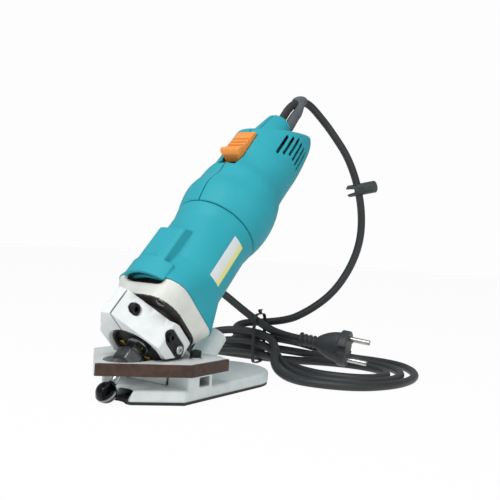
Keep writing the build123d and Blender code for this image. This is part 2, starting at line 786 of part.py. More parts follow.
def key_screw(maker, n):
    seat = BRACKET_SIDE - KEY_PLATE_SINK + KEY_PLATE_THICK
    screw = maker(KEY_SCREW_R, KEY_SCREW_HEAD_R, KEY_SCREW_HEAD, key_screw_length(n))
    return SPINDLE * at(seat, n, CLAMP_SCREW_S) * Rot(0, 90, 0) * screw


def fence_outline(inset):
    """The fence seen from above: a right-angled nose, straight sides, cut rear corners."""
    half = FENCE_HALF - inset
    nose = FENCE_NOSE_Y + inset * math.sqrt(2)
    return [
        (0, nose), (half, nose + half), (half, FENCE_SIDE_END_Y), (FENCE_REAR_HALF, FENCE_REAR_Y),
        (-FENCE_REAR_HALF, FENCE_REAR_Y), (-half, FENCE_SIDE_END_Y), (-half, nose + half),
    ]


def fence_solid(inset, corner):
    edges = FilletPolyline(*fence_outline(inset), radius=corner, close=True)
    return extrude(Pos(0, 0, POST_TOP) * make_face(edges), FENCE_THICK)


def fence_plate():
    plate = fence_solid(STRIP_THICK, FENCE_CORNER_R - STRIP_THICK / 2)
    plate += fence_solid(0, FENCE_CORNER_R) & brick(-TALL, 0, -TALL, TALL, 0, TALL)
    plate -= SPINDLE * rod(FENCE_OPENING_R, -TALL, TALL)
    plate -= brick(-FENCE_CHANNEL_HALF, FENCE_CHANNEL_HALF, FENCE_CHANNEL_Y, 0, 0, TALL)
    slot = SlotOverall(2 * (FENCE_SCREW_R + PART_CLEAR + FENCE_TRAVEL),
                       2 * (FENCE_SCREW_R + PART_CLEAR), rotation=90)
    hole = extrude(Pos(FENCE_SCREW_X, FENCE_SCREW_Y, 0) * slot, TALL)
    for solid in both_sides(hole):
        plate -= solid
    return plate


def fence_strip():
    strip = fence_solid(0, FENCE_CORNER_R) - fence_solid(STRIP_THICK, FENCE_CORNER_R - STRIP_THICK / 2)
    strip -= brick(-TALL, TALL, FENCE_SIDE_END_Y, 0, 0, TALL)
    strip -= brick(-TALL, 0, -TALL, TALL, 0, TALL)
    return strip - SPINDLE * rod(FENCE_OPENING_R, -TALL, TALL)


def fence_screws():
    length = FENCE_TOP + WASHER_THICK - WINDOW_LOW - FENCE_SCREW_GAP
    screw = cap_screw(FENCE_SCREW_R, FENCE_SCREW_HEAD_R, FENCE_SCREW_HEAD, length)
    return group(both_sides(Pos(FENCE_SCREW_X, FENCE_SCREW_Y, FENCE_TOP + WASHER_THICK) * screw))


def fence_washers():
    hole = FENCE_SCREW_R + FIT_CLEAR
    washer = upright(WASHER_R, FENCE_TOP, FENCE_TOP + WASHER_THICK)
    washer -= upright(hole, FENCE_TOP, FENCE_TOP + WASHER_THICK)
    return group(both_sides(Pos(FENCE_SCREW_X, FENCE_SCREW_Y, 0) * washer))


def fence_nuts():
    half = NUT_SIDE / 2
    nut = brick(-half, half, -half, half, WINDOW_HIGH - NUT_THICK, WINDOW_HIGH)
    nut -= upright(FENCE_SCREW_R + RUN_CLEAR, WINDOW_LOW, WINDOW_HIGH)
    return group(both_sides(Pos(FENCE_SCREW_X, FENCE_SCREW_Y, 0) * nut))


def head_screw_spots():
    return [round_place(HEAD_SCREW_CIRCLE, angle) for angle in HEAD_SCREW_ANGLES]


def cover_screw_spots():
    return [round_place(COVER_SCREW_CIRCLE, angle) for angle in (0, 90, 180, 270)]


def square_section(half, corner, s):
    """A square with round corners across the motor's axis."""
    return Pos(0, 0, s) * RectangleRounded(2 * half, 2 * half, corner)


def head_casting():
    front = square_section(HEAD_HALF - HEAD_FRONT_DRAFT, HEAD_FRONT_CORNER_R, FLANGE_S)
    flange = loft([front, square_section(HEAD_HALF, HEAD_CORNER_R, HOUSING_S)], ruled=True)
    flange = chamfer(flange.faces().sort_by(Axis.Z)[0].edges(), FLANGE_EDGE)
    head = flange + rod(NECK_R, NECK_FRONT_S, FLANGE_S)
    head += rod(HOUSING_BORE_R - FIT_CLEAR, HOUSING_S, HOUSING_S + SPIGOT_LENGTH)
    head -= rod(COVER_R + PART_CLEAR, NECK_FRONT_S, FRONT_BEARING_S)
    bearing_end = FRONT_BEARING_S + FRONT_BEARING_W
    head -= rod(FRONT_BEARING_R + RUN_CLEAR, FRONT_BEARING_S, bearing_end)
    head -= rod(HEAD_HOLE_R, bearing_end, HEAD_HOLE_S)
    head -= cone(HEAD_HOLE_R, HEAD_CAVITY_R, HEAD_HOLE_S, HEAD_CAVITY_S)
    head -= rod(HEAD_CAVITY_R, HEAD_CAVITY_S, HOUSING_S + SPIGOT_LENGTH)
    for x, n in head_screw_spots():
        head -= rod(HOUSING_BOSS_R + PART_CLEAR, HOUSING_S, TALL, x, n)
        head -= rod(HEAD_SCREW_R + FIT_CLEAR, FLANGE_S, HOUSING_S, x, n)
        head -= rod(HEAD_SCREW_HEAD_R + PART_CLEAR, 0, FLANGE_S + HEAD_SCREW_SINK, x, n) \
            & ring(TALL, NECK_R, FLANGE_S, HOUSING_S)
    for x, n in cover_screw_spots():
        head -= rod(COVER_SCREW_R + RUN_CLEAR, COVER_S, COVER_S + COVER_SCREW_LENGTH + SCREW_ROOM, x, n)
    wide = KEY_WIDTH / 2 + FIT_CLEAR
    deep = math.sqrt(NECK_R ** 2 - (KEY_WIDTH / 2 + abs(KEY_PLATE_N)) ** 2) - KEY_DEPTH / 2
    head -= block(deep - PART_CLEAR, NECK_R, KEY_PLATE_N - wide, KEY_PLATE_N + wide,
                  KEY_FRONT_S - KEY_TRAVEL - PART_CLEAR, KEY_FRONT_S + KEY_LENGTH + PART_CLEAR)
    return SPINDLE * head


def head_screws():
    screw = cross_screw(HEAD_SCREW_R, HEAD_SCREW_HEAD_R, HEAD_SCREW_HEAD, HEAD_SCREW_LENGTH)
    seat = FLANGE_S + HEAD_SCREW_SINK
    return group([SPINDLE * at(x, n, seat) * Rot(180, 0, 0) * screw for x, n in head_screw_spots()])


def bearing_cover():
    cover = ring(COVER_R, COVER_HOLE_R, COVER_S, COVER_S + COVER_THICK)
    for x, n in cover_screw_spots():
        cover -= rod(COVER_SCREW_R + FIT_CLEAR, COVER_S, COVER_S + COVER_THICK, x, n)
    return SPINDLE * cover


def cover_screws():
    screw = cross_screw(COVER_SCREW_R, COVER_SCREW_HEAD_R, COVER_SCREW_HEAD, COVER_SCREW_LENGTH)
    return group([SPINDLE * at(x, n, COVER_S) * Rot(180, 0, 0) * screw for x, n in cover_screw_spots()])


def bearing_rings(outer, bore, width, s):
    """Outer ring, inner ring and balls of a ball bearing."""
    track_r = (outer + bore) / 2
    ball_r = (outer - bore) / 2 - RACE_THICK
    groove = at(0, 0, s + width / 2) * Torus(track_r, ball_r + BALL_CLEAR)
    big = ring(outer, outer - 2 * RACE_THICK, s, s + width) - groove
    small = ring(bore + 2 * RACE_THICK, bore, s, s + width) - groove
    balls = []
    for i in range(BALL_COUNT):
        x, n = round_place(track_r, 360.0 * i / BALL_COUNT)
        balls.append(SPINDLE * at(x, n, s + width / 2) * Sphere(ball_r))
    return SPINDLE * big, SPINDLE * small, group(balls)


def cutter_blade():
    """A half-round carbide blade let into the ball, with its edge on the ball's surface."""
    reach = 2 * CUTTER_R
    plate = block(-reach, reach, -BLADE_THICK / 2, BLADE_THICK / 2, -reach, CUTTER_R / 4)
    inner = Rot(90, 0, 0) * Cylinder(CUTTER_R - BLADE_DEPTH, BLADE_THICK)
    return SPINDLE * ((plate & Sphere(CUTTER_R)) - inner)


def cutter_body():
    body = Sphere(CUTTER_R - BALL_RELIEF) + rod(SHANK_R, 0, SHANK_END_S)
    slot = Rot(90, 0, 0) * Cylinder(2 * CUTTER_R, BLADE_THICK)
    slot -= Rot(90, 0, 0) * Cylinder(CUTTER_R - BLADE_DEPTH, BLADE_THICK)
    body -= slot & block(-CUTTER_R, CUTTER_R, -CUTTER_R, CUTTER_R, -CUTTER_R, CUTTER_R / 4)
    half = BLADE_THICK / 2
    for side in (1, -1):
        low, high = sorted((side * half, side * CUTTER_R))
        left, right = sorted((side * (CUTTER_R - GULLET_HALF), side * CUTTER_R))
        body -= block(left, right, low, high, -CUTTER_R, CUTTER_R - GULLET_HALF / 2)
    return SPINDLE * body


def collet_nut():
    hexagon = RegularPolygon(NUT_FLATS / math.sqrt(3), 6)
    nut = extrude(Pos(0, 0, NUT_FRONT_S) * hexagon, NUT_REAR_S - NUT_FRONT_S)
    length = NUT_REAR_S - NUT_FRONT_S
    blunt = at(0, 0, NUT_FRONT_S + length / 2) * Cylinder(NUT_FLATS / math.sqrt(3) - NUT_BLUNT, length)
    nut &= chamfer(blunt.edges(), NUT_EDGE)
    head_end = NUT_FRONT_S + NUT_LIP + COLLET_HEAD_LENGTH
    nut -= rod(NUT_MOUTH_R, NUT_FRONT_S, NUT_REAR_S)
    nut -= rod(COLLET_HEAD_R + FIT_CLEAR, NUT_FRONT_S + NUT_LIP, head_end)
    nut -= rod(THREAD_R + RUN_CLEAR, head_end, NUT_REAR_S)
    return SPINDLE * nut


def collet():
    start = NUT_FRONT_S + NUT_LIP
    body = rod(COLLET_R, start, start + COLLET_LENGTH)
    body += cone(COLLET_R, COLLET_HEAD_R, start, start + COLLET_HEAD_LENGTH)
    body -= rod(SHANK_R + RUN_CLEAR, start, start + COLLET_LENGTH)
    slit = block(-COLLET_HEAD_R, COLLET_HEAD_R, -COLLET_SLIT / 2, COLLET_SLIT / 2,
                 start, start + COLLET_SLIT_LENGTH)
    return SPINDLE * (body - slit - Rot(0, 0, 90) * slit)


def spindle_shaft():
    nose_s = NUT_FRONT_S + NUT_LIP + COLLET_HEAD_LENGTH
    flats_end = NUT_REAR_S + SPANNER_LENGTH
    shaft = rod(THREAD_R, nose_s, NUT_REAR_S)
    flats = rod(SPANNER_R, NUT_REAR_S, flats_end)
    shaft += flats & block(-TALL, TALL, -SPANNER_FLATS / 2, SPANNER_FLATS / 2, NUT_REAR_S, flats_end)
    shaft += rod(COLLAR_R, flats_end, flats_end + COLLAR_THICK)
    shaft += rod(SHOULDER_R, flats_end, FRONT_BEARING_S)
    shaft += rod(SHAFT_R, FRONT_BEARING_S, SHAFT_TAIL_S)
    shaft += rod(SHAFT_TAIL_R, SHAFT_TAIL_S, REAR_BEARING_S + REAR_BEARING_W)
    shaft -= rod(COLLET_R + RUN_CLEAR, nose_s, NUT_FRONT_S + NUT_LIP + COLLET_LENGTH + SCREW_ROOM)
    return SPINDLE * shaft


def cooling_fan():
    fan = rod(FAN_HUB_R, FAN_S, FAN_S + FAN_DEPTH)
    fan += rod(FAN_R, FAN_S + FAN_DEPTH - FAN_PLATE, FAN_S + FAN_DEPTH)
    blade = block(SHAFT_R, FAN_R, -FAN_BLADE_THICK / 2, FAN_BLADE_THICK / 2,
                  FAN_S, FAN_S + FAN_DEPTH)
    for i in range(FAN_BLADES):
        fan += Rot(0, 0, 360.0 * i / FAN_BLADES) * blade
    fan &= rod(FAN_R, FAN_S, FAN_S + FAN_DEPTH)
    return SPINDLE * (fan - rod(SHAFT_R, FAN_S, FAN_S + FAN_DEPTH))


def air_baffle():
    return SPINDLE * ring(HOUSING_BORE_R - RUN_CLEAR, BAFFLE_HOLE_R, BAFFLE_S, BAFFLE_S + BAFFLE_THICK)


def armature_core():
    core = ring(CORE_R, SHAFT_R, CORE_S, CORE_S + CORE_LENGTH)
    slot = block(CORE_R - CORE_SLOT_DEPTH, CORE_R, -CORE_SLOT_WIDTH / 2, CORE_SLOT_WIDTH / 2,
                 CORE_S, CORE_S + CORE_LENGTH)
    for i in range(CORE_SLOTS):
        core -= Rot(0, 0, 360.0 * i / CORE_SLOTS) * slot
    return SPINDLE * core


def armature_windings():
    front = ring(WINDING_R, WINDING_BORE_R, CORE_S - WINDING_LENGTH, CORE_S)
    rear_s = CORE_S + CORE_LENGTH
    rear = ring(WINDING_R, WINDING_BORE_R, rear_s, rear_s + WINDING_LENGTH)
    front = fillet(front.faces().sort_by(Axis.Z)[0].edges(), WINDING_LENGTH / 4)
    rear = fillet(rear.faces().sort_by(Axis.Z)[-1].edges(), WINDING_LENGTH / 4)
    return group([SPINDLE * front, SPINDLE * rear])


def commutator():
    end = COMMUTATOR_S + COMMUTATOR_LENGTH
    body = rod(COMMUTATOR_R, COMMUTATOR_S, end)
    body += rod(RISER_R, COMMUTATOR_S, COMMUTATOR_S + RISER_LENGTH)
    slit = block(COMMUTATOR_R - BAR_SLIT_DEPTH, RISER_R, -BAR_SLIT / 2, BAR_SLIT / 2, COMMUTATOR_S, end)
    for i in range(COMMUTATOR_BARS):
        body -= Rot(0, 0, 360.0 * i / COMMUTATOR_BARS) * slit
    return SPINDLE * (body - rod(SHAFT_R, COMMUTATOR_S, end))


def stator_core():
    end = STATOR_S + STATOR_LENGTH
    core = ring(HOUSING_BORE_R - FIT_CLEAR, CORE_R + AIR_GAP, STATOR_S, end)
    for middle in (0, 180):
        core -= sector(COIL_IN_R - PART_CLEAR, STATOR_WINDOW_R, middle - STATOR_WINDOW_ANGLE,
                       middle + STATOR_WINDOW_ANGLE, STATOR_S, end)
    return SPINDLE * core


def field_coils():
    coils = []
    end = STATOR_S + STATOR_LENGTH
    for low in (0, 180):
        frame = sector(COIL_IN_R, COIL_OUT_R, low + COIL_LEG_START, low + 180 - COIL_LEG_START,
                       STATOR_S - COIL_OVERHANG, end + COIL_OVERHANG)
        pole = sector(CORE_R, HOUSING_BORE_R, low + COIL_LEG_END, low + 180 - COIL_LEG_END,
                      STATOR_S - PART_CLEAR, end + PART_CLEAR)
        coils.append(SPINDLE * (frame - pole))
    return group(coils)


def brush_holders():
    wide = BRUSH_WIDTH / 2 + FIT_CLEAR
    tall = BRUSH_LENGTH / 2 + FIT_CLEAR
    body = block(HOLDER_IN_R, HOLDER_OUT_R, -wide - HOLDER_WALL, wide + HOLDER_WALL,
                 BRUSH_S - tall - HOLDER_WALL, BRUSH_S + tall + HOLDER_WALL)
    cap = block(TAIL_R, TAIL_R + HOLDER_FLANGE, -wide - 2 * HOLDER_WALL, wide + 2 * HOLDER_WALL,
                BRUSH_S - tall - 2 * HOLDER_WALL, BRUSH_S + tall + 2 * HOLDER_WALL)
    neck = block(HOLDER_OUT_R, TAIL_R, -wide, wide, BRUSH_S - tall, BRUSH_S + tall)
    hollow = block(0, BRUSH_OUT_R + FIT_CLEAR, -wide, wide, BRUSH_S - tall, BRUSH_S + tall)
    holder = body + neck + cap - hollow
    return group([SPINDLE * solid for solid in both_sides(holder)])


def brushes():
    brush = block(COMMUTATOR_R, BRUSH_OUT_R, -BRUSH_WIDTH / 2, BRUSH_WIDTH / 2,
                  BRUSH_S - BRUSH_LENGTH / 2, BRUSH_S + BRUSH_LENGTH / 2)
    brush -= rod(COMMUTATOR_R + RUN_CLEAR, COMMUTATOR_S, SHAFT_TAIL_S)
    return group([SPINDLE * solid for solid in both_sides(brush)])


def hood_part(half, inset, s0, s1):
    """A stretch of the air hood's arch, drawn in by an inset."""
    arch = rod(HOOD_R - inset, s0, s1, 0, HOOD_CENTRE_N)
    wide = half - inset
    return arch & block(-wide, wide, HOOD_FLOOR_N, TALL, s0, s1)


def hood_solid(inset, s0, s1):
    """The air hood: a wide collar in front, a narrower tail behind it."""
    collar = hood_part(HOOD_HALF, inset, s0, HOOD_STEP_S - inset)
    return collar + hood_part(HOOD_REAR_HALF, inset, s0, s1)


def hood_top():
    """What the hood keeps in side view: a step behind the mouth and a sloping tail."""
    top = HOOD_CENTRE_N + HOOD_R
    rear_top = top - 2 * HOOD_STEP
    slope_s = HOOD_REAR_S - HOOD_SLOPE_LENGTH
    points = [
        (HOOD_FLOOR_N, HOOD_FRONT_S), (top, HOOD_FRONT_S), (top, HOOD_STEP_S),
        (top - HOOD_STEP, HOOD_STEP_S + HOOD_STEP_LENGTH), (rear_top, slope_s),
        (HOUSING_R - HOOD_SINK, HOOD_REAR_S), (HOOD_FLOOR_N, HOOD_REAR_S),
    ]
    outline = Plane.YZ * Polygon(*[(-n, s) for n, s in points])
    return extrude(outline, HOOD_HALF, both=True)


def housing_shell():
    """The housing's outer skin: square in front with corners that run out, then round."""
    front = square_section(FLARE_HALF, FLARE_CORNER_R, HOUSING_S)
    round_half = HOUSING_R - FLARE_END_GAP
    rear = square_section(round_half, round_half - FLARE_END_GAP, FLARE_END_S)
    points = [
        (0, FLARE_END_S), (HOUSING_R, FLARE_END_S), (HOUSING_R, HOUSING_STRAIGHT_S),
        (SEAM_R, SEAM_S), (0, SEAM_S),
    ]
    return loft([front, rear], ruled=True) + revolve(Plane.XZ * Polygon(*points), Axis.Z)


def motor_housing():
    hood = hood_solid(0, HOOD_FRONT_S, HOOD_REAR_S) & hood_top()
    room = square_section(FLARE_HALF + PART_CLEAR, FLARE_CORNER_R, 0)
    hood -= extrude(room, HOUSING_S)
    shell = housing_shell()
    body = shell + hood
    duct = hood_solid(HOOD_LIP, HOOD_FRONT_S, HOOD_DUCT_END_S) - rod(HOUSING_R, 0, TALL)
    window = hood_part(HOOD_REAR_HALF, HOOD_LIP, FAN_S - HOOD_WINDOW_LEAD, HOOD_DUCT_END_S)
    body -= duct + window
    body -= rod(HOUSING_BORE_R, 0, SEAM_S - WEB_THICK)
    for x, n in head_screw_spots():
        body += rod(HOUSING_BOSS_R, HOUSING_S, HOUSING_S + HOUSING_BOSS_LENGTH, x, n) \
            & shell
        body -= rod(HEAD_SCREW_R + RUN_CLEAR, 0, HOUSING_S + HOUSING_BOSS_LENGTH, x, n)
    body += rod(TAIL_R, SEAM_S - WEB_THICK, TAIL_END_S)
    wall_s = REAR_BEARING_S + REAR_BEARING_W
    body -= rod(TAIL_BORE_R, 0, wall_s)
    cup = REAR_BEARING_R + BEARING_CUP_WALL
    body += ring(cup, REAR_BEARING_R + RUN_CLEAR, REAR_BEARING_S, wall_s)
    for i in range(TAIL_HOLE_COUNT):
        x, n = round_place(TAIL_HOLE_CIRCLE, 360.0 * (i + 0.5) / TAIL_HOLE_COUNT)
        body -= rod(TAIL_HOLE_R, wall_s, TAIL_END_S, x, n)
    wide = BRUSH_WIDTH / 2 + HOLDER_WALL + 2 * FIT_CLEAR
    tall = BRUSH_LENGTH / 2 + HOLDER_WALL + 2 * FIT_CLEAR
    body -= block(-TALL, TALL, -wide, wide, BRUSH_S - tall, BRUSH_S + tall)
    return SPINDLE * body


def handle_profile(wall):
    """The handle's skin: a bulge, a waist and a long dome under a level top, drawn in by a wall."""
    start = SEAM_S + SEAM_GAP
    end = HANDLE_END_S - wall
    belly = ThreePointArc((SEAM_R - wall, start), (BULGE_R - wall, BULGE_S), (WAIST_R - wall, WAIST_S))
    back = Spline(
        (WAIST_R - wall, WAIST_S), (SHOULDER_HANDLE_R - wall, SHOULDER_S), (REAR_R - wall, REAR_S),
        (DOME_R - wall, DOME_S - wall), (HANDLE_END_R, end), tangents=[WAIST_SLOPE, END_SLOPE],
    )
    closing = Polyline((HANDLE_END_R, end), (0, end), (0, start), (SEAM_R - wall, start))
    body = revolve(Plane.XZ * make_face([belly, back, closing]), Axis.Z)
    top_s = (REAR_TOP_Z - CUTTER_Z) / AXIS_Z - wall * math.sqrt(2)
    above = Plane(origin=(0, 0, top_s), x_dir=(1, 0, 0), z_dir=(0, -1, 1))
    body -= above * Pos(0, 0, TALL / 2) * Box(TALL, TALL, TALL)
    rim = body.faces().filter_by(above)[0].edges()
    return fillet(rim, REAR_TOP_EDGE - wall / 2)


def cord_boss():
    """The tapering boss that carries the cord's strain relief."""
    root = at(0, BOSS_ROOT_N, BOSS_ROOT_S) * Circle(BOSS_ROOT_R)
    tip = at(0, BOSS_N, BOSS_END_S) * Circle(BOSS_R)
    return loft([root, tip])


def vent_cuts():
    cuts = []
    for i in range(VENT_COUNT):
        start = VENT_S - max(0, i - VENT_LEVEL_COUNT + 1) * VENT_SHIFT
        slot = SlotOverall(VENT_LENGTH, VENT_WIDTH)
        middle = start + VENT_LENGTH / 2
        outward = Plane(origin=(VENT_IN_R, 0, middle), x_dir=(0, 0, 1), z_dir=(1, 0, 0))
        cut = outward * extrude(slot, TALL)
        angle = VENT_LOW_ANGLE + VENT_STEP_ANGLE * i
        cuts += both_sides(Rot(0, 0, -angle) * cut)
    return cuts


def handle_shell():
    """Both handle halves in one, hollow, with its openings."""
    outer = handle_profile(0)
    hollow = handle_profile(HANDLE_WALL)
    inside = handle_profile(HANDLE_WALL / 2)
    shell = outer + cord_boss() - hollow
    for s in RIB_STATIONS:
        shell += inside & ring(BULGE_R, TAIL_R + FIT_CLEAR, s, s + RIB_LENGTH)
    floor_n = BOSS_N - CORD_R - CORD_CLEAR
    floor = inside & block(-TALL, TALL, floor_n - CLAMP_FLOOR, floor_n,
                           CLAMP_S, CLAMP_S + CLAMP_FLOOR_LENGTH)
    for x in (CLAMP_SCREW_X, -CLAMP_SCREW_X):
        floor -= clamp_bolt_hole(x)
    shell += floor
    for wall_s in (SWITCH_BLOCK_S - CRADLE_THICK, SWITCH_BLOCK_S + SWITCH_BLOCK_LENGTH):
        shell += inside & block(-TALL, TALL, SWITCH_BLOCK_LOW_N - CRADLE_THICK,
                                SWITCH_BLOCK_LOW_N + CRADLE_TALL, wall_s, wall_s + CRADLE_THICK)
    shell += inside & block(-TALL, TALL, SWITCH_BLOCK_LOW_N - CRADLE_THICK, SWITCH_BLOCK_LOW_N,
                            SWITCH_BLOCK_S, SWITCH_BLOCK_S + SWITCH_BLOCK_LENGTH)
    for s, n in HANDLE_SCREW_PLACES:
        shell += inside & cross_rod(HANDLE_BOSS_R, -TALL, TALL, n, s)
    half = SWITCH_WIDTH / 2 + SWITCH_SLOT_CLEAR
    shell -= block(-half, half, SWITCH_BLOCK_TOP_N, TALL, SWITCH_FRONT_S - SWITCH_TRAVEL - SWITCH_SLOT_CLEAR,
                   SWITCH_REAR_S + SWITCH_SLOT_CLEAR)
    for cut in vent_cuts():
        shell -= cut
    shell -= rod(RELIEF_ROOT_R + FIT_CLEAR, CLAMP_S + CLAMP_LENGTH, TALL, 0, BOSS_N)
    shell -= rod(RELIEF_COLLAR_R + FIT_CLEAR, RELIEF_ROOT_S - FIT_CLEAR,
                 RELIEF_ROOT_S + RELIEF_COLLAR + FIT_CLEAR, 0, BOSS_N)
    return shell


def clamp_bolt_hole(x):
    """The hole for a cord clamp screw, down through the clamp's floor."""
    hole = Rot(90, 0, 0) * Cylinder(CLAMP_POST_R + RUN_CLEAR, 2 * CLAMP_BOLT_LENGTH)
    return at(x, BOSS_N, CLAMP_S + CLAMP_LENGTH / 2) * hole


def handle_half(shell, side):
    low, high = sorted((0, side * TALL))
    half = shell & block(low, high, -TALL, TALL, 0, TALL)
    for s, n in HANDLE_SCREW_PLACES:
        if side < 0:
            half -= cross_rod(HANDLE_SCREW_R + FIT_CLEAR, -TALL, 0, n, s)
            half -= cross_rod(HANDLE_SCREW_HEAD_R + PART_CLEAR, -TALL, -HANDLE_SCREW_SEAT_X, n, s)
        else:
            half -= cross_rod(HANDLE_SCREW_R + RUN_CLEAR, 0, HANDLE_SCREW_REACH + SCREW_ROOM, n, s)
    return SPINDLE * half


def handle_screws():
    length = HANDLE_SCREW_SEAT_X + HANDLE_SCREW_REACH
    screw = cross_screw(HANDLE_SCREW_R, HANDLE_SCREW_HEAD_R, HANDLE_SCREW_HEAD, length)
    placed = []
    for s, n in HANDLE_SCREW_PLACES:
        placed.append(SPINDLE * at(-HANDLE_SCREW_SEAT_X, n, s) * Rot(0, -90, 0) * screw)
    return group(placed)


def switch_slider():
    lip_end = SWITCH_FRONT_S + SWITCH_LIP_LENGTH
    flange_top = SWITCH_FLANGE_R - SWITCH_FLANGE_THICK
    ramp_s = lip_end + SWITCH_RAMP
    points = [
        (SWITCH_FRONT_S, flange_top), (SWITCH_FRONT_S, SWITCH_NOSE_N),
        (SWITCH_FRONT_S + SWITCH_LIP_LENGTH / 2, SWITCH_CREST_N), (lip_end, SWITCH_LIP_END_N),
        (ramp_s, SWITCH_TREAD_N), (SWITCH_REAR_S, SWITCH_TAIL_N), (SWITCH_REAR_S, flange_top),
    ]
    outline = Plane.YZ * Polygon(*[(-n, s) for s, n in points])
    body = extrude(outline, SWITCH_WIDTH / 2, both=True)
    body = fillet(body.edges().filter_by(Axis.X), SWITCH_EDGE / 2)
    lip = extrude(outline, SWITCH_LIP_WIDTH / 2, both=True)
    lip &= block(-TALL, TALL, WAIST_R + SWITCH_LIP_LIFT, TALL, SWITCH_FRONT_S, ramp_s)
    body += lip
    for i in range(SWITCH_GROOVES):
        s = ramp_s + SWITCH_GROOVE_LEAD + i * SWITCH_GROOVE_PITCH
        drop = (SWITCH_TREAD_N - SWITCH_TAIL_N) / (SWITCH_REAR_S - ramp_s)
        n = SWITCH_TREAD_N - drop * (s - ramp_s)
        body -= cross_rod(SWITCH_GROOVE_R, -SWITCH_WIDTH, SWITCH_WIDTH, n, s)
    flange = ring(SWITCH_FLANGE_R, flange_top, SWITCH_FRONT_S, SWITCH_REAR_S)
    body += flange & block(-SWITCH_FLANGE_HALF, SWITCH_FLANGE_HALF, 0, TALL, 0, TALL)
    middle = (SWITCH_FRONT_S + SWITCH_REAR_S) / 2
    body += block(-TONGUE_HALF, TONGUE_HALF, SWITCH_BLOCK_TOP_N - TONGUE_DEPTH, SWITCH_FLANGE_R,
                  middle - TONGUE_LENGTH / 2, middle + TONGUE_LENGTH / 2)
    return SPINDLE * body


def switch_block():
    end = SWITCH_BLOCK_S + SWITCH_BLOCK_LENGTH
    body = block(-SWITCH_BLOCK_HALF, SWITCH_BLOCK_HALF, SWITCH_BLOCK_LOW_N, SWITCH_BLOCK_TOP_N,
                 SWITCH_BLOCK_S, end)
    middle = (SWITCH_FRONT_S + SWITCH_REAR_S) / 2
    half = TONGUE_HALF + PART_CLEAR
    body -= block(-half, half, SWITCH_BLOCK_TOP_N - TONGUE_DEPTH - PART_CLEAR, SWITCH_BLOCK_TOP_N,
                  middle - TONGUE_LENGTH / 2 - SWITCH_TRAVEL - PART_CLEAR,
                  middle + TONGUE_LENGTH / 2 + PART_CLEAR)
    return SPINDLE * body


def cord_clamp():
    low = BOSS_N + CORD_R
    bar = block(-CLAMP_HALF, CLAMP_HALF, low, low + CLAMP_THICK, CLAMP_S, CLAMP_S + CLAMP_LENGTH)
    for x in (CLAMP_SCREW_X, -CLAMP_SCREW_X):
        hole = Rot(90, 0, 0) * Cylinder(CLAMP_POST_R + FIT_CLEAR, TALL)
        bar -= at(x, low, CLAMP_S + CLAMP_LENGTH / 2) * hole
    return SPINDLE * bar


def cord_clamp_screws():
    seat = BOSS_N + CORD_R + CLAMP_THICK
    screw = cross_screw(CLAMP_POST_R, CLAMP_BOLT_HEAD_R, CLAMP_BOLT_HEAD, CLAMP_BOLT_LENGTH)
    solids = []
    for x in (CLAMP_SCREW_X, -CLAMP_SCREW_X):
        solids.append(SPINDLE * at(x, seat, CLAMP_S + CLAMP_LENGTH / 2) * Rot(90, 0, 0) * screw)
    return group(solids)


def label():
    inner = HOUSING_R + LABEL_GAP
    patch = sector(inner, inner + LABEL_THICK, LABEL_LOW_ANGLE, LABEL_LOW_ANGLE + LABEL_ANGLE,
                   LABEL_S, LABEL_S + LABEL_LENGTH)
    return SPINDLE * patch


def waist_place(along, across, z):
    """A place by the hank's waist: along the hank to the right, across it to the far side."""
    turn = math.radians(HANK_TURN)
    x = WAIST_X + along * math.cos(turn) - across * math.sin(turn)
    y = WAIST_Y + along * math.sin(turn) + across * math.cos(turn)
    return Vector(x, y, z)


def waist_heading(along, across):
    return waist_place(along, across, 0) - waist_place(0, 0, 0)


def hank_knots():
    """Places and headings that the hank's loops pass, eight to a loop, stepping down."""
    left, right = waist_heading(-1, 0), waist_heading(1, 0)
    nearer, farther = waist_heading(0, -1), waist_heading(0, 1)
    knots = []
    for k in range(HANK_LOOPS):
        far_z = LEVEL_LOW + LEVEL_STEP * (HANK_LOOPS - k)
        near_z = far_z - LEVEL_STEP / 2
        left_half = LEFT_HALF - k * LEFT_STEP
        left_tip = LEFT_TIP_REACH - k * LEFT_TIP_STEP
        right_tip = RIGHT_TIP_REACH - k * RIGHT_TIP_STEP
        near = RIGHT_NEAR - k * RIGHT_STEP
        far = RIGHT_FAR - k * RIGHT_STEP
        knots += [
            (waist_place(0, WAIST_HALF, far_z), left),
            (waist_place(-LEFT_SIDE_REACH, left_half, CORD_R), left),
            (waist_place(-left_tip, 0, CORD_R), nearer),
            (waist_place(-LEFT_SIDE_REACH, -left_half, CORD_R), right),
            (waist_place(-WAIST_SKEW, -WAIST_HALF, near_z), right),
            (waist_place(RIGHT_SIDE_REACH, -near, CORD_R), right),
            (waist_place(right_tip, 0, CORD_R), farther),
            (waist_place(RIGHT_SIDE_REACH, far, CORD_R), left),
        ]
    knots.append((waist_place(0, WAIST_HALF, LEVEL_LOW), left))
    return knots


def biarc(start, start_way, end, end_way):
    """Two tangent arcs between two places with given headings."""
    chord = end - start
    a = 2 * (1 - start_way.dot(end_way))
    b = 2 * chord.dot(start_way + end_way)
    c = -chord.dot(chord)
    reach = -c / b if a < 1e-9 else (-b + math.sqrt(b * b - 4 * a * c)) / (2 * a)
    first = start + start_way * reach
    second = end - end_way * reach
    joint = (first + second) * 0.5
    return [
        TangentArc(start, joint, tangent=start_way),
        TangentArc(joint, end, tangent=second - first),
    ]


def hank_path():
    knots = hank_knots()
    arcs = []
    for (start, start_way), (end, end_way) in zip(knots, knots[1:]):
        arcs += biarc(start, start_way, end, end_way)
    return Wire(arcs)


def tube(path, radius):
    section = Plane(origin=path @ 0, z_dir=path % 0) * Circle(radius)
    return sweep(section, path=path)


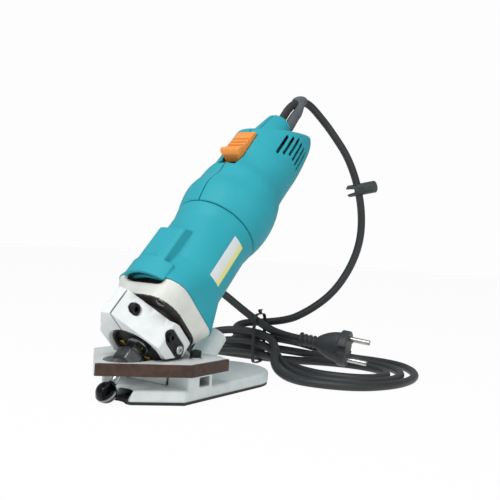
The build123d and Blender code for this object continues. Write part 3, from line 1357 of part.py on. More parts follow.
def least_gap(path):
    """The least gap between turns of a cord, measured on points along its path."""
    count = int(path.length / GAP_SAMPLE)
    points = [path @ (i / count) for i in range(count + 1)]
    skip = int(CORD_GAP_SKIP / GAP_SAMPLE)
    nearest = path.length
    for i, here in enumerate(points):
        for there in points[i + skip:]:
            nearest = min(nearest, (there - here).length)
    return nearest - 2 * CORD_R


def cord_hank():
    path = hank_path()
    solid = tube(path, CORD_R)
    print("hank length", round(path.length), "least gap", round(least_gap(path), 2))
    print("hank volume", round(solid.volume), "expected", round(math.pi * CORD_R ** 2 * path.length))
    return solid


def route_path(points):
    """Straight runs joined by tangent arcs, each arc as large as its two runs allow."""
    points = [Vector(p) for p in points]
    radii = []
    for a, b, c in zip(points, points[1:], points[2:]):
        turn = math.radians((b - a).get_angle(c - b))
        run = min((b - a).length, (c - b).length)
        radii.append(CORD_ARC_SHARE * run / math.tan(turn / 2))
    print("cord radii", [round(r) for r in radii])
    return FilletPolyline(*points, radius=radii).wire()


def cord_axis_place(s):
    return SPINDLE.from_local_coords(Vector(0, -BOSS_N, s))


def drop_path():
    start = [cord_axis_place(CORD_START_S), cord_axis_place(BOSS_END_S + CORD_LEAD)]
    end = waist_place(0, WAIST_HALF, LEVEL_LOW + LEVEL_STEP * HANK_LOOPS)
    return route_path(start + DROP_ROUTE + [end])


def tail_path():
    return route_path([waist_place(0, WAIST_HALF, LEVEL_LOW)] + TAIL_ROUTE)


def cord_stretch(name, path):
    solid = tube(path, CORD_R)
    print(name, "length", round(path.length), "volume", round(solid.volume),
          "expected", round(math.pi * CORD_R ** 2 * path.length))
    return solid


def strain_relief():
    """A tapering boot that bends with the cord, slit along its top, on a collared root."""
    boss_end = BOSS_END_S + RELIEF_LEAD - CORD_START_S
    sections = []
    for i in range(RELIEF_SECTIONS):
        share = i / (RELIEF_SECTIONS - 1)
        place = DROP.location_at(boss_end + share * RELIEF_LENGTH, position_mode=PositionMode.LENGTH)
        way = DROP.tangent_at(boss_end + share * RELIEF_LENGTH, position_mode=PositionMode.LENGTH)
        rise = Vector(1, 0, 0).cross(way).normalized() * RELIEF_RISE
        radius = RELIEF_START_R + share * (RELIEF_END_R - RELIEF_START_R)
        sections.append(Plane(origin=place.position + rise, z_dir=way) * Circle(radius))
    boot = loft(sections)
    root = rod(RELIEF_ROOT_R, RELIEF_ROOT_S, BOSS_END_S + RELIEF_OVERLAP, 0, BOSS_N)
    root += rod(RELIEF_COLLAR_R, RELIEF_ROOT_S, RELIEF_ROOT_S + RELIEF_COLLAR, 0, BOSS_N)
    boot += SPINDLE * root
    low = DROP.position_at(boss_end, position_mode=PositionMode.LENGTH)
    high = DROP.position_at(boss_end + RELIEF_SLIT_LENGTH, position_mode=PositionMode.LENGTH)
    way = (high - low).normalized()
    rise = Vector(1, 0, 0).cross(way).normalized()
    offset = CORD_R + CORD_CLEAR + RELIEF_WALL + RELIEF_SLIT / 2
    slit = Box(4 * RELIEF_START_R, RELIEF_SLIT, RELIEF_SLIT_LENGTH)
    middle = (low + high) * 0.5 + rise * offset + way * (RELIEF_SLIT / 2)
    boot -= Plane(origin=middle, x_dir=(1, 0, 0), z_dir=way) * slit
    return boot - tube(DROP, CORD_R + CORD_CLEAR)


def cord_clip():
    """A rubber key holder pushed on the cord through its slit end."""
    place = DROP.position_at(CLIP_AT)
    down = DROP.tangent_at(CLIP_AT)
    outward = Vector(1, 0, 0) - down * down.X
    body = Pos(0, 0, CLIP_LENGTH / 2 - CLIP_JAW) * Cylinder(CLIP_R, CLIP_LENGTH)
    body = fillet(body.edges(), CLIP_EDGE)
    wedge = Polygon((-CLIP_JAW_GAP / 2, 0), (CLIP_JAW_GAP / 2, 0),
                    (CLIP_JAW_GAP, -CLIP_JAW), (-CLIP_JAW_GAP, -CLIP_JAW))
    body -= extrude(Plane.YZ * wedge, CLIP_R, both=True)
    turned = Plane(origin=place, x_dir=down.cross(outward), z_dir=outward)
    return turned * body - tube(DROP, CORD_R + CORD_CLEAR)


def tie_outline(grow):
    near, far = TIE_NEAR - TIE_THICK + grow, TIE_FAR - TIE_THICK + grow
    low, high = TIE_LOW + TIE_THICK - grow, TIE_HIGH - TIE_THICK + grow
    corners = [(-near, low), (far, low), (far, high), (-near, high)]
    return make_face(FilletPolyline(*corners, radius=TIE_CORNER_R + grow, close=True))


def cord_tie():
    """A flat tie round the hank's waist, with its twisted ends on top."""
    band = extrude(tie_outline(TIE_THICK) - tie_outline(0), TIE_WIDTH / 2, both=True)
    end = Pos((TIE_FAR - TIE_NEAR) / 2, TIE_HIGH + TIE_END_LENGTH / 2, 0)
    band += end * Box(2 * TIE_THICK, TIE_END_LENGTH + TIE_THICK, TIE_END_WIDTH)
    across, along = waist_heading(0, 1), waist_heading(1, 0)
    return Plane(origin=waist_place(0, 0, 0), x_dir=across, z_dir=along) * band


def plug_place():
    """The plug's own frame: z along its pins, x upwards."""
    way = TAIL % 1
    side = way.cross(Vector(0, 0, 1))
    return Plane(origin=TAIL @ 1, x_dir=side.cross(way), z_dir=way)


def plug_body():
    relief = upright(PLUG_CORE_R, 0, PLUG_RELIEF + PLUG_RIB)
    relief += upright(PLUG_RING_R, 0, PLUG_RIB)
    for i in range(1, PLUG_RIBS):
        relief += Pos(0, 0, i * PLUG_RIB_PITCH) * upright(PLUG_ROOT_R, 0, PLUG_RIB)
    neck = Pos(0, 0, PLUG_RELIEF) * Ellipse(PLUG_ROOT_R, PLUG_ROOT_R)
    middle = Pos(0, 0, PLUG_RELIEF + PLUG_BODY / 2) * Ellipse(PLUG_MIDDLE_TALL, PLUG_MIDDLE_WIDE)
    shoulder = Pos(0, 0, PLUG_RELIEF + PLUG_BODY) * Ellipse(PLUG_BODY_TALL, PLUG_BODY_WIDE)
    body = relief + loft([neck, middle, shoulder])
    disc_z = PLUG_RELIEF + PLUG_BODY
    disc = upright(PLUG_DISC_R, disc_z, disc_z + PLUG_DISC)
    disc = fillet(disc.edges(), PLUG_DISC_EDGE)
    notch = brick(-PLUG_NOTCH / 2, PLUG_NOTCH / 2, PLUG_DISC_R - PLUG_NOTCH_DEEP, PLUG_DISC_R,
                  disc_z, disc_z + PLUG_DISC)
    disc -= notch
    disc -= mirror(notch, Plane.XZ)
    body += disc
    for x in (PIN_SPACING / 2, -PIN_SPACING / 2):
        body -= upright(PIN_ROOT_R + RUN_CLEAR, disc_z + PLUG_DISC - PIN_ROOT, disc_z + PLUG_DISC, x)
    return plug_place() * body


def plug_pins():
    face = PLUG_RELIEF + PLUG_BODY + PLUG_DISC
    pin = upright(PIN_R, face, face + PIN_LENGTH)
    pin = fillet(pin.faces().sort_by(Axis.Z)[-1].edges(), PIN_ROUND)
    pin += upright(PIN_ROOT_R, face - PIN_ROOT, face)
    return group([plug_place() * Pos(x, 0, 0) * pin for x in (PIN_SPACING / 2, -PIN_SPACING / 2)])


DROP = drop_path()
TAIL = tail_path()
HANDLE = handle_shell()
front_outer, front_inner, front_balls = bearing_rings(
    FRONT_BEARING_R, SHAFT_R, FRONT_BEARING_W, FRONT_BEARING_S)
rear_outer, rear_inner, rear_balls = bearing_rings(
    REAR_BEARING_R, SHAFT_TAIL_R, REAR_BEARING_W, REAR_BEARING_S)

pieces = {
    "base_plate": base_plate(),
    "base_sole": base_sole(),
    "sole_screws": sole_screws(),
    "dust_spout": dust_spout(),
    "bracket": bracket(),
    "bracket_screws": bracket_screws(),
    "clamp_screw": clamp_screw(),
    "guide_key": guide_key(),
    "guide_key_socket_screw": key_screw(cap_screw, KEY_SCREW_NS[0]),
    "guide_key_cross_screw": key_screw(cross_screw, KEY_SCREW_NS[1]),
    "fence_plate": fence_plate(),
    "fence_strip": fence_strip(),
    "fence_screws": fence_screws(),
    "fence_washers": fence_washers(),
    "fence_nuts": fence_nuts(),
    "head_casting": head_casting(),
    "head_screws": head_screws(),
    "bearing_cover": bearing_cover(),
    "cover_screws": cover_screws(),
    "front_bearing_outer": front_outer,
    "front_bearing_inner": front_inner,
    "front_bearing_balls": front_balls,
    "rear_bearing_outer": rear_outer,
    "rear_bearing_inner": rear_inner,
    "rear_bearing_balls": rear_balls,
    "cutter_body": cutter_body(),
    "cutter_blade": cutter_blade(),
    "collet": collet(),
    "collet_nut": collet_nut(),
    "spindle_shaft": spindle_shaft(),
    "cooling_fan": cooling_fan(),
    "armature_core": armature_core(),
    "armature_windings": armature_windings(),
    "commutator": commutator(),
    "motor_housing": motor_housing(),
    "air_baffle": air_baffle(),
    "stator_core": stator_core(),
    "field_coils": field_coils(),
    "brush_holders": brush_holders(),
    "brushes": brushes(),
    "handle_left": handle_half(HANDLE, -1),
    "handle_right": handle_half(HANDLE, 1),
    "handle_screws": handle_screws(),
    "switch_slider": switch_slider(),
    "switch_block": switch_block(),
    "cord_clamp": cord_clamp(),
    "cord_clamp_screws": cord_clamp_screws(),
    "label": label(),
    "strain_relief": strain_relief(),
    "cord_drop": cord_stretch("drop", DROP),
    "cord_hank": cord_hank(),
    "cord_tail": cord_stretch("tail", TAIL),
    "cord_tie": cord_tie(),
    "cord_clip": cord_clip(),
    "plug_body": plug_body(),
    "plug_pins": plug_pins(),
}

os.makedirs("parts", exist_ok=True)
for name, piece in pieces.items():
    export_step(piece, f"parts/{name}.step")
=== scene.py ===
import math

import bpy
import bmesh
import numpy as np
from mathutils import Matrix, Vector


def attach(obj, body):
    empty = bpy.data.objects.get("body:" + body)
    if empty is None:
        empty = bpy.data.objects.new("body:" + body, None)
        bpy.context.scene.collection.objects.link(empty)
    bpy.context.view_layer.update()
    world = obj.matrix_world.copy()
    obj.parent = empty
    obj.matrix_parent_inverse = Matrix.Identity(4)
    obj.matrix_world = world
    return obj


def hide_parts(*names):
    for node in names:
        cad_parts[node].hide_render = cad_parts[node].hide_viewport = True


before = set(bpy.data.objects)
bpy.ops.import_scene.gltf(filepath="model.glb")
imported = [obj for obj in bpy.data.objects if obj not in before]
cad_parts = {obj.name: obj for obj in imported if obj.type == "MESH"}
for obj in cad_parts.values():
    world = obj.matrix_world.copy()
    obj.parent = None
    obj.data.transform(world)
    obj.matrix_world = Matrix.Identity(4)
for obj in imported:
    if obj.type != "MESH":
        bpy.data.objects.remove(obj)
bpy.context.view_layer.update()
scene = bpy.context.scene
scene.view_settings.view_transform = "Standard"
bpy.ops.object.select_all(action="DESELECT")


# CAMERA
# A normal lens, low on the tool's right front and almost level with the bench. It is turned a little
# on its own axis.
heading, tilt, turn = math.radians(33.548), math.radians(0.992), math.radians(3.423)
camera_place = (0.3640, -0.4723, 0.1214)
lens_mm, sensor_mm = 54.13, 36
sideways = Vector((math.cos(heading), math.sin(heading), 0))
backwards = Vector((math.sin(heading) * math.cos(tilt), -math.cos(heading) * math.cos(tilt), math.sin(tilt)))
upwards = backwards.cross(sideways)
camera_right = sideways * math.cos(turn) + upwards * math.sin(turn)
camera_up = upwards * math.cos(turn) - sideways * math.sin(turn)
facing = Matrix((camera_right, camera_up, backwards)).transposed().to_4x4()
camera = bpy.data.objects.new("camera", bpy.data.cameras.new("camera"))
camera.data.sensor_width = sensor_mm
camera.data.lens = lens_mm
camera.matrix_world = Matrix.Translation(camera_place) @ facing
scene.collection.objects.link(camera)
scene.camera = camera


# MAINS CORD
# A round two-core rubber lead, 7.4 mm thick and 2.9 m long. It folds over at the end of its rubber
# sleeve, drops behind the tool, lies in a tied hank of three loops and comes back to its plug.
slope = math.sqrt(0.5)
ball_y, ball_z = -92.2, 8.2


def from_spindle(x, n, s):
    """Frame coordinates from those across, above and along the tilted spindle, all in millimetres.
    They are counted from the middle of the cutter's ball."""
    return x, ball_y + slope * (s - n), ball_z + slope * (s + n)


hank_waist = Vector((-0.027, 0.143, 0))
hank_turn = math.radians(8)
hank_east = Vector((math.cos(hank_turn), math.sin(hank_turn), 0))
hank_north = Vector((-hank_east.y, hank_east.x, 0))


def on_bench(along, out, height):
    """A point of the hank, in metres, from millimetres along and across it and above the bench."""
    return hank_waist + (hank_east * along + hank_north * out + Vector((0, 0, height))) / 1000


drop = [Vector(from_spindle(0, 9, s)) / 1000 for s in (259, 297)]
drop += [Vector(p) / 1000 for p in (
    (0.5, 130, 247), (4, 151.5, 254.5), (14.8, 169.5, 237.2), (23.7, 178.2, 222.7), (34.1, 187.1, 204.5),
    (42.2, 195.1, 179.3), (46.5, 201, 150), (46, 201.5, 122), (39.5, 195.5, 95.5), (28, 184.5, 71),
    (11, 170, 53), (-8, 156, 41))]
# Each loop passes the waist twice and lies flat at its ends. Later loops are smaller and lie inside.
cord_radius = 3.7
turns = []
for loop in range(3):
    pinch = 35.2 - 10 * loop
    left_far, left_end = 68 - 19 * loop, -140 + 15 * loop
    right_near, right_end, right_far = -78 + 22 * loop, 150 - 12 * loop, 80 - 22 * loop
    turns += [
        (on_bench(0, 4.6, pinch), -hank_east), (on_bench(-84, left_far, cord_radius), -hank_east),
        (on_bench(left_end, 0, cord_radius), -hank_north), (on_bench(-84, -left_far, cord_radius), hank_east),
        (on_bench(-18, -4.6, pinch - 5), hank_east), (on_bench(88, right_near, cord_radius), hank_east),
        (on_bench(right_end, 0, cord_radius), hank_north), (on_bench(88, right_far, cord_radius), -hank_east)]
turns.append((on_bench(0, 4.6, 5.2), -hank_east))
# Two more points join each pair, set so that the leg between them is as long as the two outer legs.
hank = []
for (here, leave), (there, arrive) in zip(turns, turns[1:]):
    step = there - here
    square = 2 * (1 - leave.dot(arrive))
    slant = 2 * step.dot(leave + arrive)
    if square < 1e-6:
        reach = step.dot(step) / slant
    else:
        reach = (-slant + math.sqrt(slant ** 2 + 4 * square * step.dot(step))) / (2 * square)
    hank += [here + leave * reach, there - arrive * reach]
tail = [Vector(p) / 1000 for p in (
    (-54.4, 143.8, 5.2), (-82.8, 137.7, 5.6), (-110.3, 130.3, 7.5), (-129.9, 124.5, 27.0),
    (-129.1, 122.1, 54.0), (-111.0, 122.6, 74.5), (-85.1, 125.0, 76.0), (-63.4, 128.8, 65.0),
    (-42.8, 133.2, 51.0), (-22.1, 137.1, 38.5), (-2.5, 140.9, 30.5), (17.1, 145.2, 28.5))]
cord_curve = bpy.data.curves.new("mains_cord", "CURVE")
cord_curve.dimensions = "3D"
cord_curve.bevel_depth = cord_radius / 1000
cord_curve.bevel_resolution = 5
cord_curve.resolution_u = 10
cord_curve.use_fill_caps = True
lead = cord_curve.splines.new("NURBS")
route = drop + hank + tail
lead.points.add(len(route) - 1)
for point, place in zip(lead.points, route):
    point.co = (*place, 1)
lead.order_u = 3
lead.use_endpoint_u = True
mains_cord = bpy.data.objects.new("mains_cord", cord_curve)
scene.collection.objects.link(mains_cord)


def linear(red, green, blue):
    """A screen colour, 0 to 255, as the linear colour that a shader takes."""
    shares = (red / 255, green / 255, blue / 255)
    return tuple(((c + 0.055) / 1.055) ** 2.4 if c > 0.04 else c / 12.92 for c in shares)


def new_finish(name, tone, shade, rough, patch_mm, grain_mm, depth_mm, metal=0.0, corner_shade=0.0, corner_shade_mm=10):
    """A finish that drifts between two screen colours in soft patches, with a fine grain in relief.
    The colour is darkened as painted shade in corners: corner_shade is the share of light that a corner loses
    within corner_shade_mm of another face."""
    shade_below, tone_above = 0.32, 0.62
    darkest_below, unshaded_above = 0.15, 0.75
    rough_swing = 0.08
    finish = bpy.data.materials.new(name)
    finish.use_nodes = True
    nodes, links = finish.node_tree.nodes, finish.node_tree.links
    shader = nodes["Principled BSDF"]
    shader.inputs["Metallic"].default_value = metal
    place = nodes.new("ShaderNodeTexCoord")
    patches = nodes.new("ShaderNodeTexNoise")
    patches.inputs["Scale"].default_value = 1000 / patch_mm
    patches.inputs["Detail"].default_value = 4
    links.new(place.outputs["Object"], patches.inputs["Vector"])
    colours = nodes.new("ShaderNodeValToRGB")
    colours.name = "colours"
    colours.color_ramp.elements[0].position = shade_below
    colours.color_ramp.elements[0].color = (*linear(*shade), 1)
    colours.color_ramp.elements[1].position = tone_above
    colours.color_ramp.elements[1].color = (*linear(*tone), 1)
    links.new(patches.outputs["Fac"], colours.inputs["Fac"])
    links.new(colours.outputs["Color"], shader.inputs["Base Color"])
    # Painted shade: an ambient occlusion node darkens the colour in corners and near other faces, where shade
    # falls.
    if corner_shade:
        corners = nodes.new("ShaderNodeAmbientOcclusion")
        corners.samples = 8
        corners.inputs["Distance"].default_value = corner_shade_mm / 1000
        corner_shade_strength = nodes.new("ShaderNodeMapRange")
        corner_shade_strength.inputs["From Min"].default_value = darkest_below
        corner_shade_strength.inputs["From Max"].default_value = unshaded_above
        corner_shade_strength.inputs["To Min"].default_value = 1 - corner_shade
        corner_shade_strength.inputs["To Max"].default_value = 1
        links.new(corners.outputs["AO"], corner_shade_strength.inputs["Value"])
        painted_corner_shade = nodes.new("ShaderNodeMix")
        painted_corner_shade.data_type = "RGBA"
        painted_corner_shade.blend_type = "MULTIPLY"
        painted_corner_shade.inputs["Factor"].default_value = 1
        links.new(colours.outputs["Color"], painted_corner_shade.inputs["A"])
        links.new(corner_shade_strength.outputs["Result"], painted_corner_shade.inputs["B"])
        links.new(painted_corner_shade.outputs["Result"], shader.inputs["Base Color"])
    grain = nodes.new("ShaderNodeTexNoise")
    grain.inputs["Scale"].default_value = 1000 / grain_mm
    grain.inputs["Detail"].default_value = 3
    links.new(place.outputs["Object"], grain.inputs["Vector"])
    gloss = nodes.new("ShaderNodeMapRange")
    gloss.inputs["To Min"].default_value = rough - rough_swing
    gloss.inputs["To Max"].default_value = rough + rough_swing
    links.new(grain.outputs["Fac"], gloss.inputs["Value"])
    links.new(gloss.outputs["Result"], shader.inputs["Roughness"])
    relief = nodes.new("ShaderNodeBump")
    relief.name = "relief"
    relief.inputs["Strength"].default_value = 0.6
    relief.inputs["Distance"].default_value = depth_mm / 1000
    links.new(grain.outputs["Fac"], relief.inputs["Height"])
    links.new(relief.outputs["Normal"], shader.inputs["Normal"])
    return finish


def dress(finish, *names):
    """Gives CAD nodes a finish."""
    for name in names:
        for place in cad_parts[name].material_slots:
            place.material = finish


cord_rubber = new_finish("cord_rubber", (46, 49, 51), (38, 41, 43), rough=0.5,
                         patch_mm=26, grain_mm=0.5, depth_mm=0.012)
mains_cord.data.materials.append(cord_rubber)
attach(mains_cord, "motor")
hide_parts("cord_drop", "cord_hank", "cord_tail")


# STUDIO
# A white table in soft white light from all round, with a large soft lamp above in front and a weaker
# one on the right. To the camera and in reflections the table is almost evenly white.
bpy.ops.mesh.primitive_plane_add(size=6, location=(0, 0, -0.0002))
floor = bpy.context.object
floor.name = "floor"
table_white = bpy.data.materials.new("table_white")
table_white.use_nodes = True
nodes, links = table_white.node_tree.nodes, table_white.node_tree.links
nodes.clear()
output = nodes.new("ShaderNodeOutputMaterial")
blend = nodes.new("ShaderNodeMixShader")
matt = nodes.new("ShaderNodeBsdfDiffuse")
matt.inputs["Color"].default_value = (0.9, 0.9, 0.9, 1)
glow = nodes.new("ShaderNodeEmission")
ray = nodes.new("ShaderNodeLightPath")
seen = nodes.new("ShaderNodeMath")
seen.operation = "MAXIMUM"
share = nodes.new("ShaderNodeMath")
share.operation = "MULTIPLY"
share.inputs[1].default_value = 0.95
links.new(ray.outputs["Is Camera Ray"], seen.inputs[0])
links.new(ray.outputs["Is Glossy Ray"], seen.inputs[1])
links.new(seen.outputs["Value"], share.inputs[0])
links.new(share.outputs["Value"], blend.inputs["Fac"])
links.new(matt.outputs["BSDF"], blend.inputs[1])
links.new(glow.outputs["Emission"], blend.inputs[2])
links.new(blend.outputs["Shader"], output.inputs["Surface"])
floor.data.materials.append(table_white)

room = bpy.data.worlds.new("room")
scene.world = room
room.use_nodes = True
nodes, links = room.node_tree.nodes, room.node_tree.links
nodes.clear()
output = nodes.new("ShaderNodeOutputWorld")
blend = nodes.new("ShaderNodeMixShader")
soft_light = nodes.new("ShaderNodeBackground")
soft_light.inputs["Color"].default_value = (0.94, 0.97, 1.0, 1)
soft_light.inputs["Strength"].default_value = 0.42
white_wall = nodes.new("ShaderNodeBackground")
white_wall.inputs["Color"].default_value = (0.985, 0.985, 0.985, 1)
ray = nodes.new("ShaderNodeLightPath")
links.new(ray.outputs["Is Camera Ray"], blend.inputs["Fac"])
links.new(soft_light.outputs["Background"], blend.inputs[1])
links.new(white_wall.outputs["Background"], blend.inputs[2])
links.new(blend.outputs["Shader"], output.inputs["Surface"])
for name, place, aim, size, watts in (
        ("lamp_above", (0.1, -0.75, 1.05), (0, 0.02, 0.1), 0.9, 11.2),
        ("lamp_right", (1.1, -0.35, 0.55), (0, 0.05, 0.1), 0.8, 2.2)):
    lamp = bpy.data.objects.new(name, bpy.data.lights.new(name, "AREA"))
    lamp.data.size = size
    lamp.data.energy = watts
    lamp.location = place
    lamp.rotation_euler = (Vector(aim) - Vector(place)).to_track_quat("-Z", "Y").to_euler()
    scene.collection.objects.link(lamp)


# BASE AND SOLE
# The base is a gravity casting, shot-blasted, with two posts for the fence. A thin black fibre sole is
# screwed under it so that it slides on the panel without marking it.
def to_spindle(x, y, z):
    """Coordinates across, above and along the tilted spindle from those of the frame, in millimetres."""
    return x, slope * (z - y - (ball_z - ball_y)), slope * (z + y - (ball_z + ball_y))


def finished_mesh(piece):
    """A piece's mesh with its modifiers applied."""
    return bpy.data.meshes.new_from_object(piece.evaluated_get(bpy.context.evaluated_depsgraph_get()))


def softened(name, body, finish, grain_mm, passes, keep, reshape=None):
    """A copy of a CAD piece with the soft edges of a casting or moulding: merged, remeshed, relaxed, thinned.
    Before it is relaxed, reshape may move its points, in millimetres across, above and along the spindle."""
    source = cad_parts[name]
    shape = source.data.copy()
    shape.transform(source.matrix_world)
    work = bmesh.new()
    work.from_mesh(shape)
    bmesh.ops.remove_doubles(work, verts=work.verts, dist=1e-6)
    work.to_mesh(shape)
    work.free()
    piece = bpy.data.objects.new(name + "_soft", shape)
    scene.collection.objects.link(piece)
    skin = piece.modifiers.new("skin", "REMESH")
    skin.mode = "VOXEL"
    skin.voxel_size = grain_mm / 1000
    if reshape:
        skinned = finished_mesh(piece)
        piece.modifiers.clear()
        piece.data = skinned
        places = np.empty(3 * len(skinned.vertices), dtype=np.float32)
        skinned.vertices.foreach_get("co", places)
        moved = from_spindle(*reshape(*to_spindle(*(places.reshape(-1, 3).T * 1000))))
        places = np.stack(moved, axis=1) / 1000
        skinned.vertices.foreach_set("co", places.astype(np.float32).ravel())
    relax = piece.modifiers.new("relax", "SMOOTH")
    relax.factor = 0.5
    relax.iterations = passes
    thin = piece.modifiers.new("thin", "DECIMATE")
    thin.ratio = keep
    done = finished_mesh(piece)
    piece.modifiers.clear()
    piece.data = done
    done.materials.clear()
    done.materials.append(finish)
    done.shade_smooth()
    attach(piece, body)
    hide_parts(name)
    return piece


blasted = new_finish("blasted_casting", (228, 234, 233), (216, 223, 222), rough=0.55,
                     patch_mm=9, grain_mm=0.45, depth_mm=0.05, metal=0.2, corner_shade=0.6, corner_shade_mm=10)
softened("base_plate", "base", blasted, grain_mm=0.6, passes=3, keep=0.35)
fibre = new_finish("sole_fibre", (38, 39, 41), (28, 29, 31), rough=0.6,
                   patch_mm=6, grain_mm=0.5, depth_mm=0.03)
dress(fibre, "base_sole")
zinc = new_finish("zinc_plate", (205, 208, 206), (178, 183, 184), rough=0.28,
                  patch_mm=4, grain_mm=0.3, depth_mm=0.01, metal=1.0)
dress(zinc, "sole_screws", "bracket_screws", "guide_key_cross_screw", "head_screws", "handle_screws",
      "fence_nuts", "fence_washers", "cord_clamp_screws")


# DUST SPOUT
# A drawn aluminium tube for a hose, pressed into the base behind the head. It is anodised to a satin
# white, and the drawing has left faint rings round it.
def along_spindle(finish):
    """Coordinates, in metres, whose Z runs along the spindle and whose Y points away from the tool's top."""
    nodes, links = finish.node_tree.nodes, finish.node_tree.links
    place = nodes.new("ShaderNodeTexCoord")
    lean = nodes.new("ShaderNodeMapping")
    lean.inputs["Rotation"].default_value = (math.radians(45), 0, 0)
    lean.inputs["Location"].default_value = (0, 0.0710, 0.0594)
    links.new(place.outputs["Object"], lean.inputs["Vector"])
    return lean


def add_rings(finish, pitch_mm, dark, depth_mm, wobble):
    """Fine rings across the spindle's axis, as turning or drawing leaves them, or stacked sheets show them.
    The share of light that they lose is dark."""
    wave_mm = 314
    nodes, links = finish.node_tree.nodes, finish.node_tree.links
    rings = nodes.new("ShaderNodeTexWave")
    rings.bands_direction = "Z"
    rings.inputs["Scale"].default_value = wave_mm / pitch_mm
    rings.inputs["Distortion"].default_value = wobble
    rings.inputs["Detail"].default_value = 2
    links.new(along_spindle(finish).outputs["Vector"], rings.inputs["Vector"])
    depth = nodes.new("ShaderNodeMapRange")
    depth.inputs["To Min"].default_value = 1 - dark
    depth.inputs["To Max"].default_value = 1
    links.new(rings.outputs["Fac"], depth.inputs["Value"])
    tint = nodes.new("ShaderNodeMix")
    tint.data_type = "RGBA"
    tint.blend_type = "MULTIPLY"
    tint.inputs["Factor"].default_value = 1
    links.new(nodes["colours"].outputs["Color"], tint.inputs["A"])
    links.new(depth.outputs["Result"], tint.inputs["B"])
    links.new(tint.outputs["Result"], nodes["Principled BSDF"].inputs["Base Color"])
    grooves = nodes.new("ShaderNodeBump")
    grooves.inputs["Strength"].default_value = 0.5
    grooves.inputs["Distance"].default_value = depth_mm / 1000
    links.new(rings.outputs["Fac"], grooves.inputs["Height"])
    links.new(nodes["relief"].outputs["Normal"], grooves.inputs["Normal"])
    links.new(grooves.outputs["Normal"], nodes["Principled BSDF"].inputs["Normal"])
    return finish


satin_tube = new_finish("satin_tube", (244, 248, 246), (236, 241, 239), rough=0.5,
                        patch_mm=14, grain_mm=0.25, depth_mm=0.012, metal=0.1)
dress(add_rings(satin_tube, pitch_mm=0.7, dark=0.05, depth_mm=0.004, wobble=3.0), "dust_spout")


# BRACKET
# The motor's clamp, cast in one with its foot and split along the top, shot-blasted to a bright white
# grain. A cap screw closes the slot, and a black plate on its right holds the key that keeps the head
# from turning.
def bracket_back(x, n, s):
    """The bracket's rear face leans forward towards its upper right, and leaves a gap before the head."""
    rear_s, lean_mm = 64.2, 3.4
    lean = lean_mm * np.clip((x + 14) / 14, 0, 1) * np.clip((n - 1) / 9, 0, 1)
    return x, n, np.minimum(s, rear_s - lean)


bright_blast = new_finish("bright_blast", (240, 243, 242), (230, 234, 233), rough=0.6,
                          patch_mm=8, grain_mm=0.4, depth_mm=0.05, metal=0.12, corner_shade=0.6, corner_shade_mm=8)
softened("bracket", "base", bright_blast, grain_mm=0.5, passes=3, keep=0.35,
         reshape=bracket_back)
black_oxide = new_finish("black_oxide", (44, 45, 46), (28, 29, 30), rough=0.38,
                         patch_mm=3, grain_mm=0.3, depth_mm=0.015, metal=0.7)
dress(black_oxide, "clamp_screw", "guide_key_socket_screw", "fence_screws")
key_black = new_finish("guide_key_black", (40, 41, 42), (26, 27, 28), rough=0.5,
                       patch_mm=4, grain_mm=0.4, depth_mm=0.03, metal=0.4)
dress(key_black, "guide_key")


# FENCE
# A sheared aluminium plate, lapped on top and held on the base's posts by two screws in slots. A dark
# brown laminate strip, bonded along the right of its nose, takes the wear.
fence_metal = new_finish("fence_plate_metal", (232, 236, 234), (220, 225, 223), rough=0.45,
                         patch_mm=12, grain_mm=0.3, depth_mm=0.012, metal=0.3, corner_shade=0.6, corner_shade_mm=10)
dress(fence_metal, "fence_plate")
laminate = new_finish("strip_laminate", (80, 60, 50), (62, 46, 38), rough=0.5,
                      patch_mm=5, grain_mm=0.5, depth_mm=0.03)
laminate.node_tree.nodes["Principled BSDF"].inputs["Specular IOR Level"].default_value = 0.3
dress(laminate, "fence_strip")


# HEAD
# A pressure die casting that carries the front bearing, smooth from the die and a little yellowish.
# A black cover, held by yellow screws, closes the bearing towards the cutter.
def air_mouth(x, n, s):
    """The flange dips under the housing's hood, where the motor draws its air."""
    half_wide, side_run = 18, 6
    dip_s, dip_run = 75.5, 4
    bottom_n, dip_share = 25.5, 0.75
    dip = np.clip((half_wide - abs(x)) / side_run, 0, 1) * np.clip((s - dip_s) / dip_run, 0, 1)
    return x, np.where(n > bottom_n, bottom_n + (n - bottom_n) * (1 - dip_share * dip), n), s


die_cast = new_finish("die_casting", (226, 227, 220), (214, 215, 208), rough=0.5,
                      patch_mm=16, grain_mm=0.5, depth_mm=0.015, metal=0.15, corner_shade=0.6, corner_shade_mm=10)
head = softened("head_casting", "motor", die_cast, grain_mm=0.6, passes=3, keep=0.35,
                reshape=air_mouth)
# Faces painted dark as shade: the neck in the gap behind the bracket, and the air mouth.
painted_recess_shade = new_finish("painted_recess_shade", (62, 58, 55), (40, 38, 37), rough=0.7,
                         patch_mm=5, grain_mm=0.5, depth_mm=0.05)
head.data.materials.append(painted_recess_shade)
neck_end_s = 66.8
mouth_half, mouth_n, mouth_s = 17, 24.5, 77.4
for face in head.data.polygons:
    x, n, s = to_spindle(*(face.center * 1000))
    if s < neck_end_s or (abs(x) < mouth_half and n > mouth_n and s > mouth_s):
        face.material_index = 1
cover_plastic = new_finish("cover_plastic", (40, 41, 42), (30, 31, 32), rough=0.5,
                           patch_mm=6, grain_mm=0.4, depth_mm=0.02)
dress(cover_plastic, "bearing_cover")
yellow_zinc = new_finish("yellow_zinc", (196, 166, 84), (160, 132, 70), rough=0.3,
                         patch_mm=3, grain_mm=0.3, depth_mm=0.01, metal=1.0)
dress(yellow_zinc, "cover_screws")


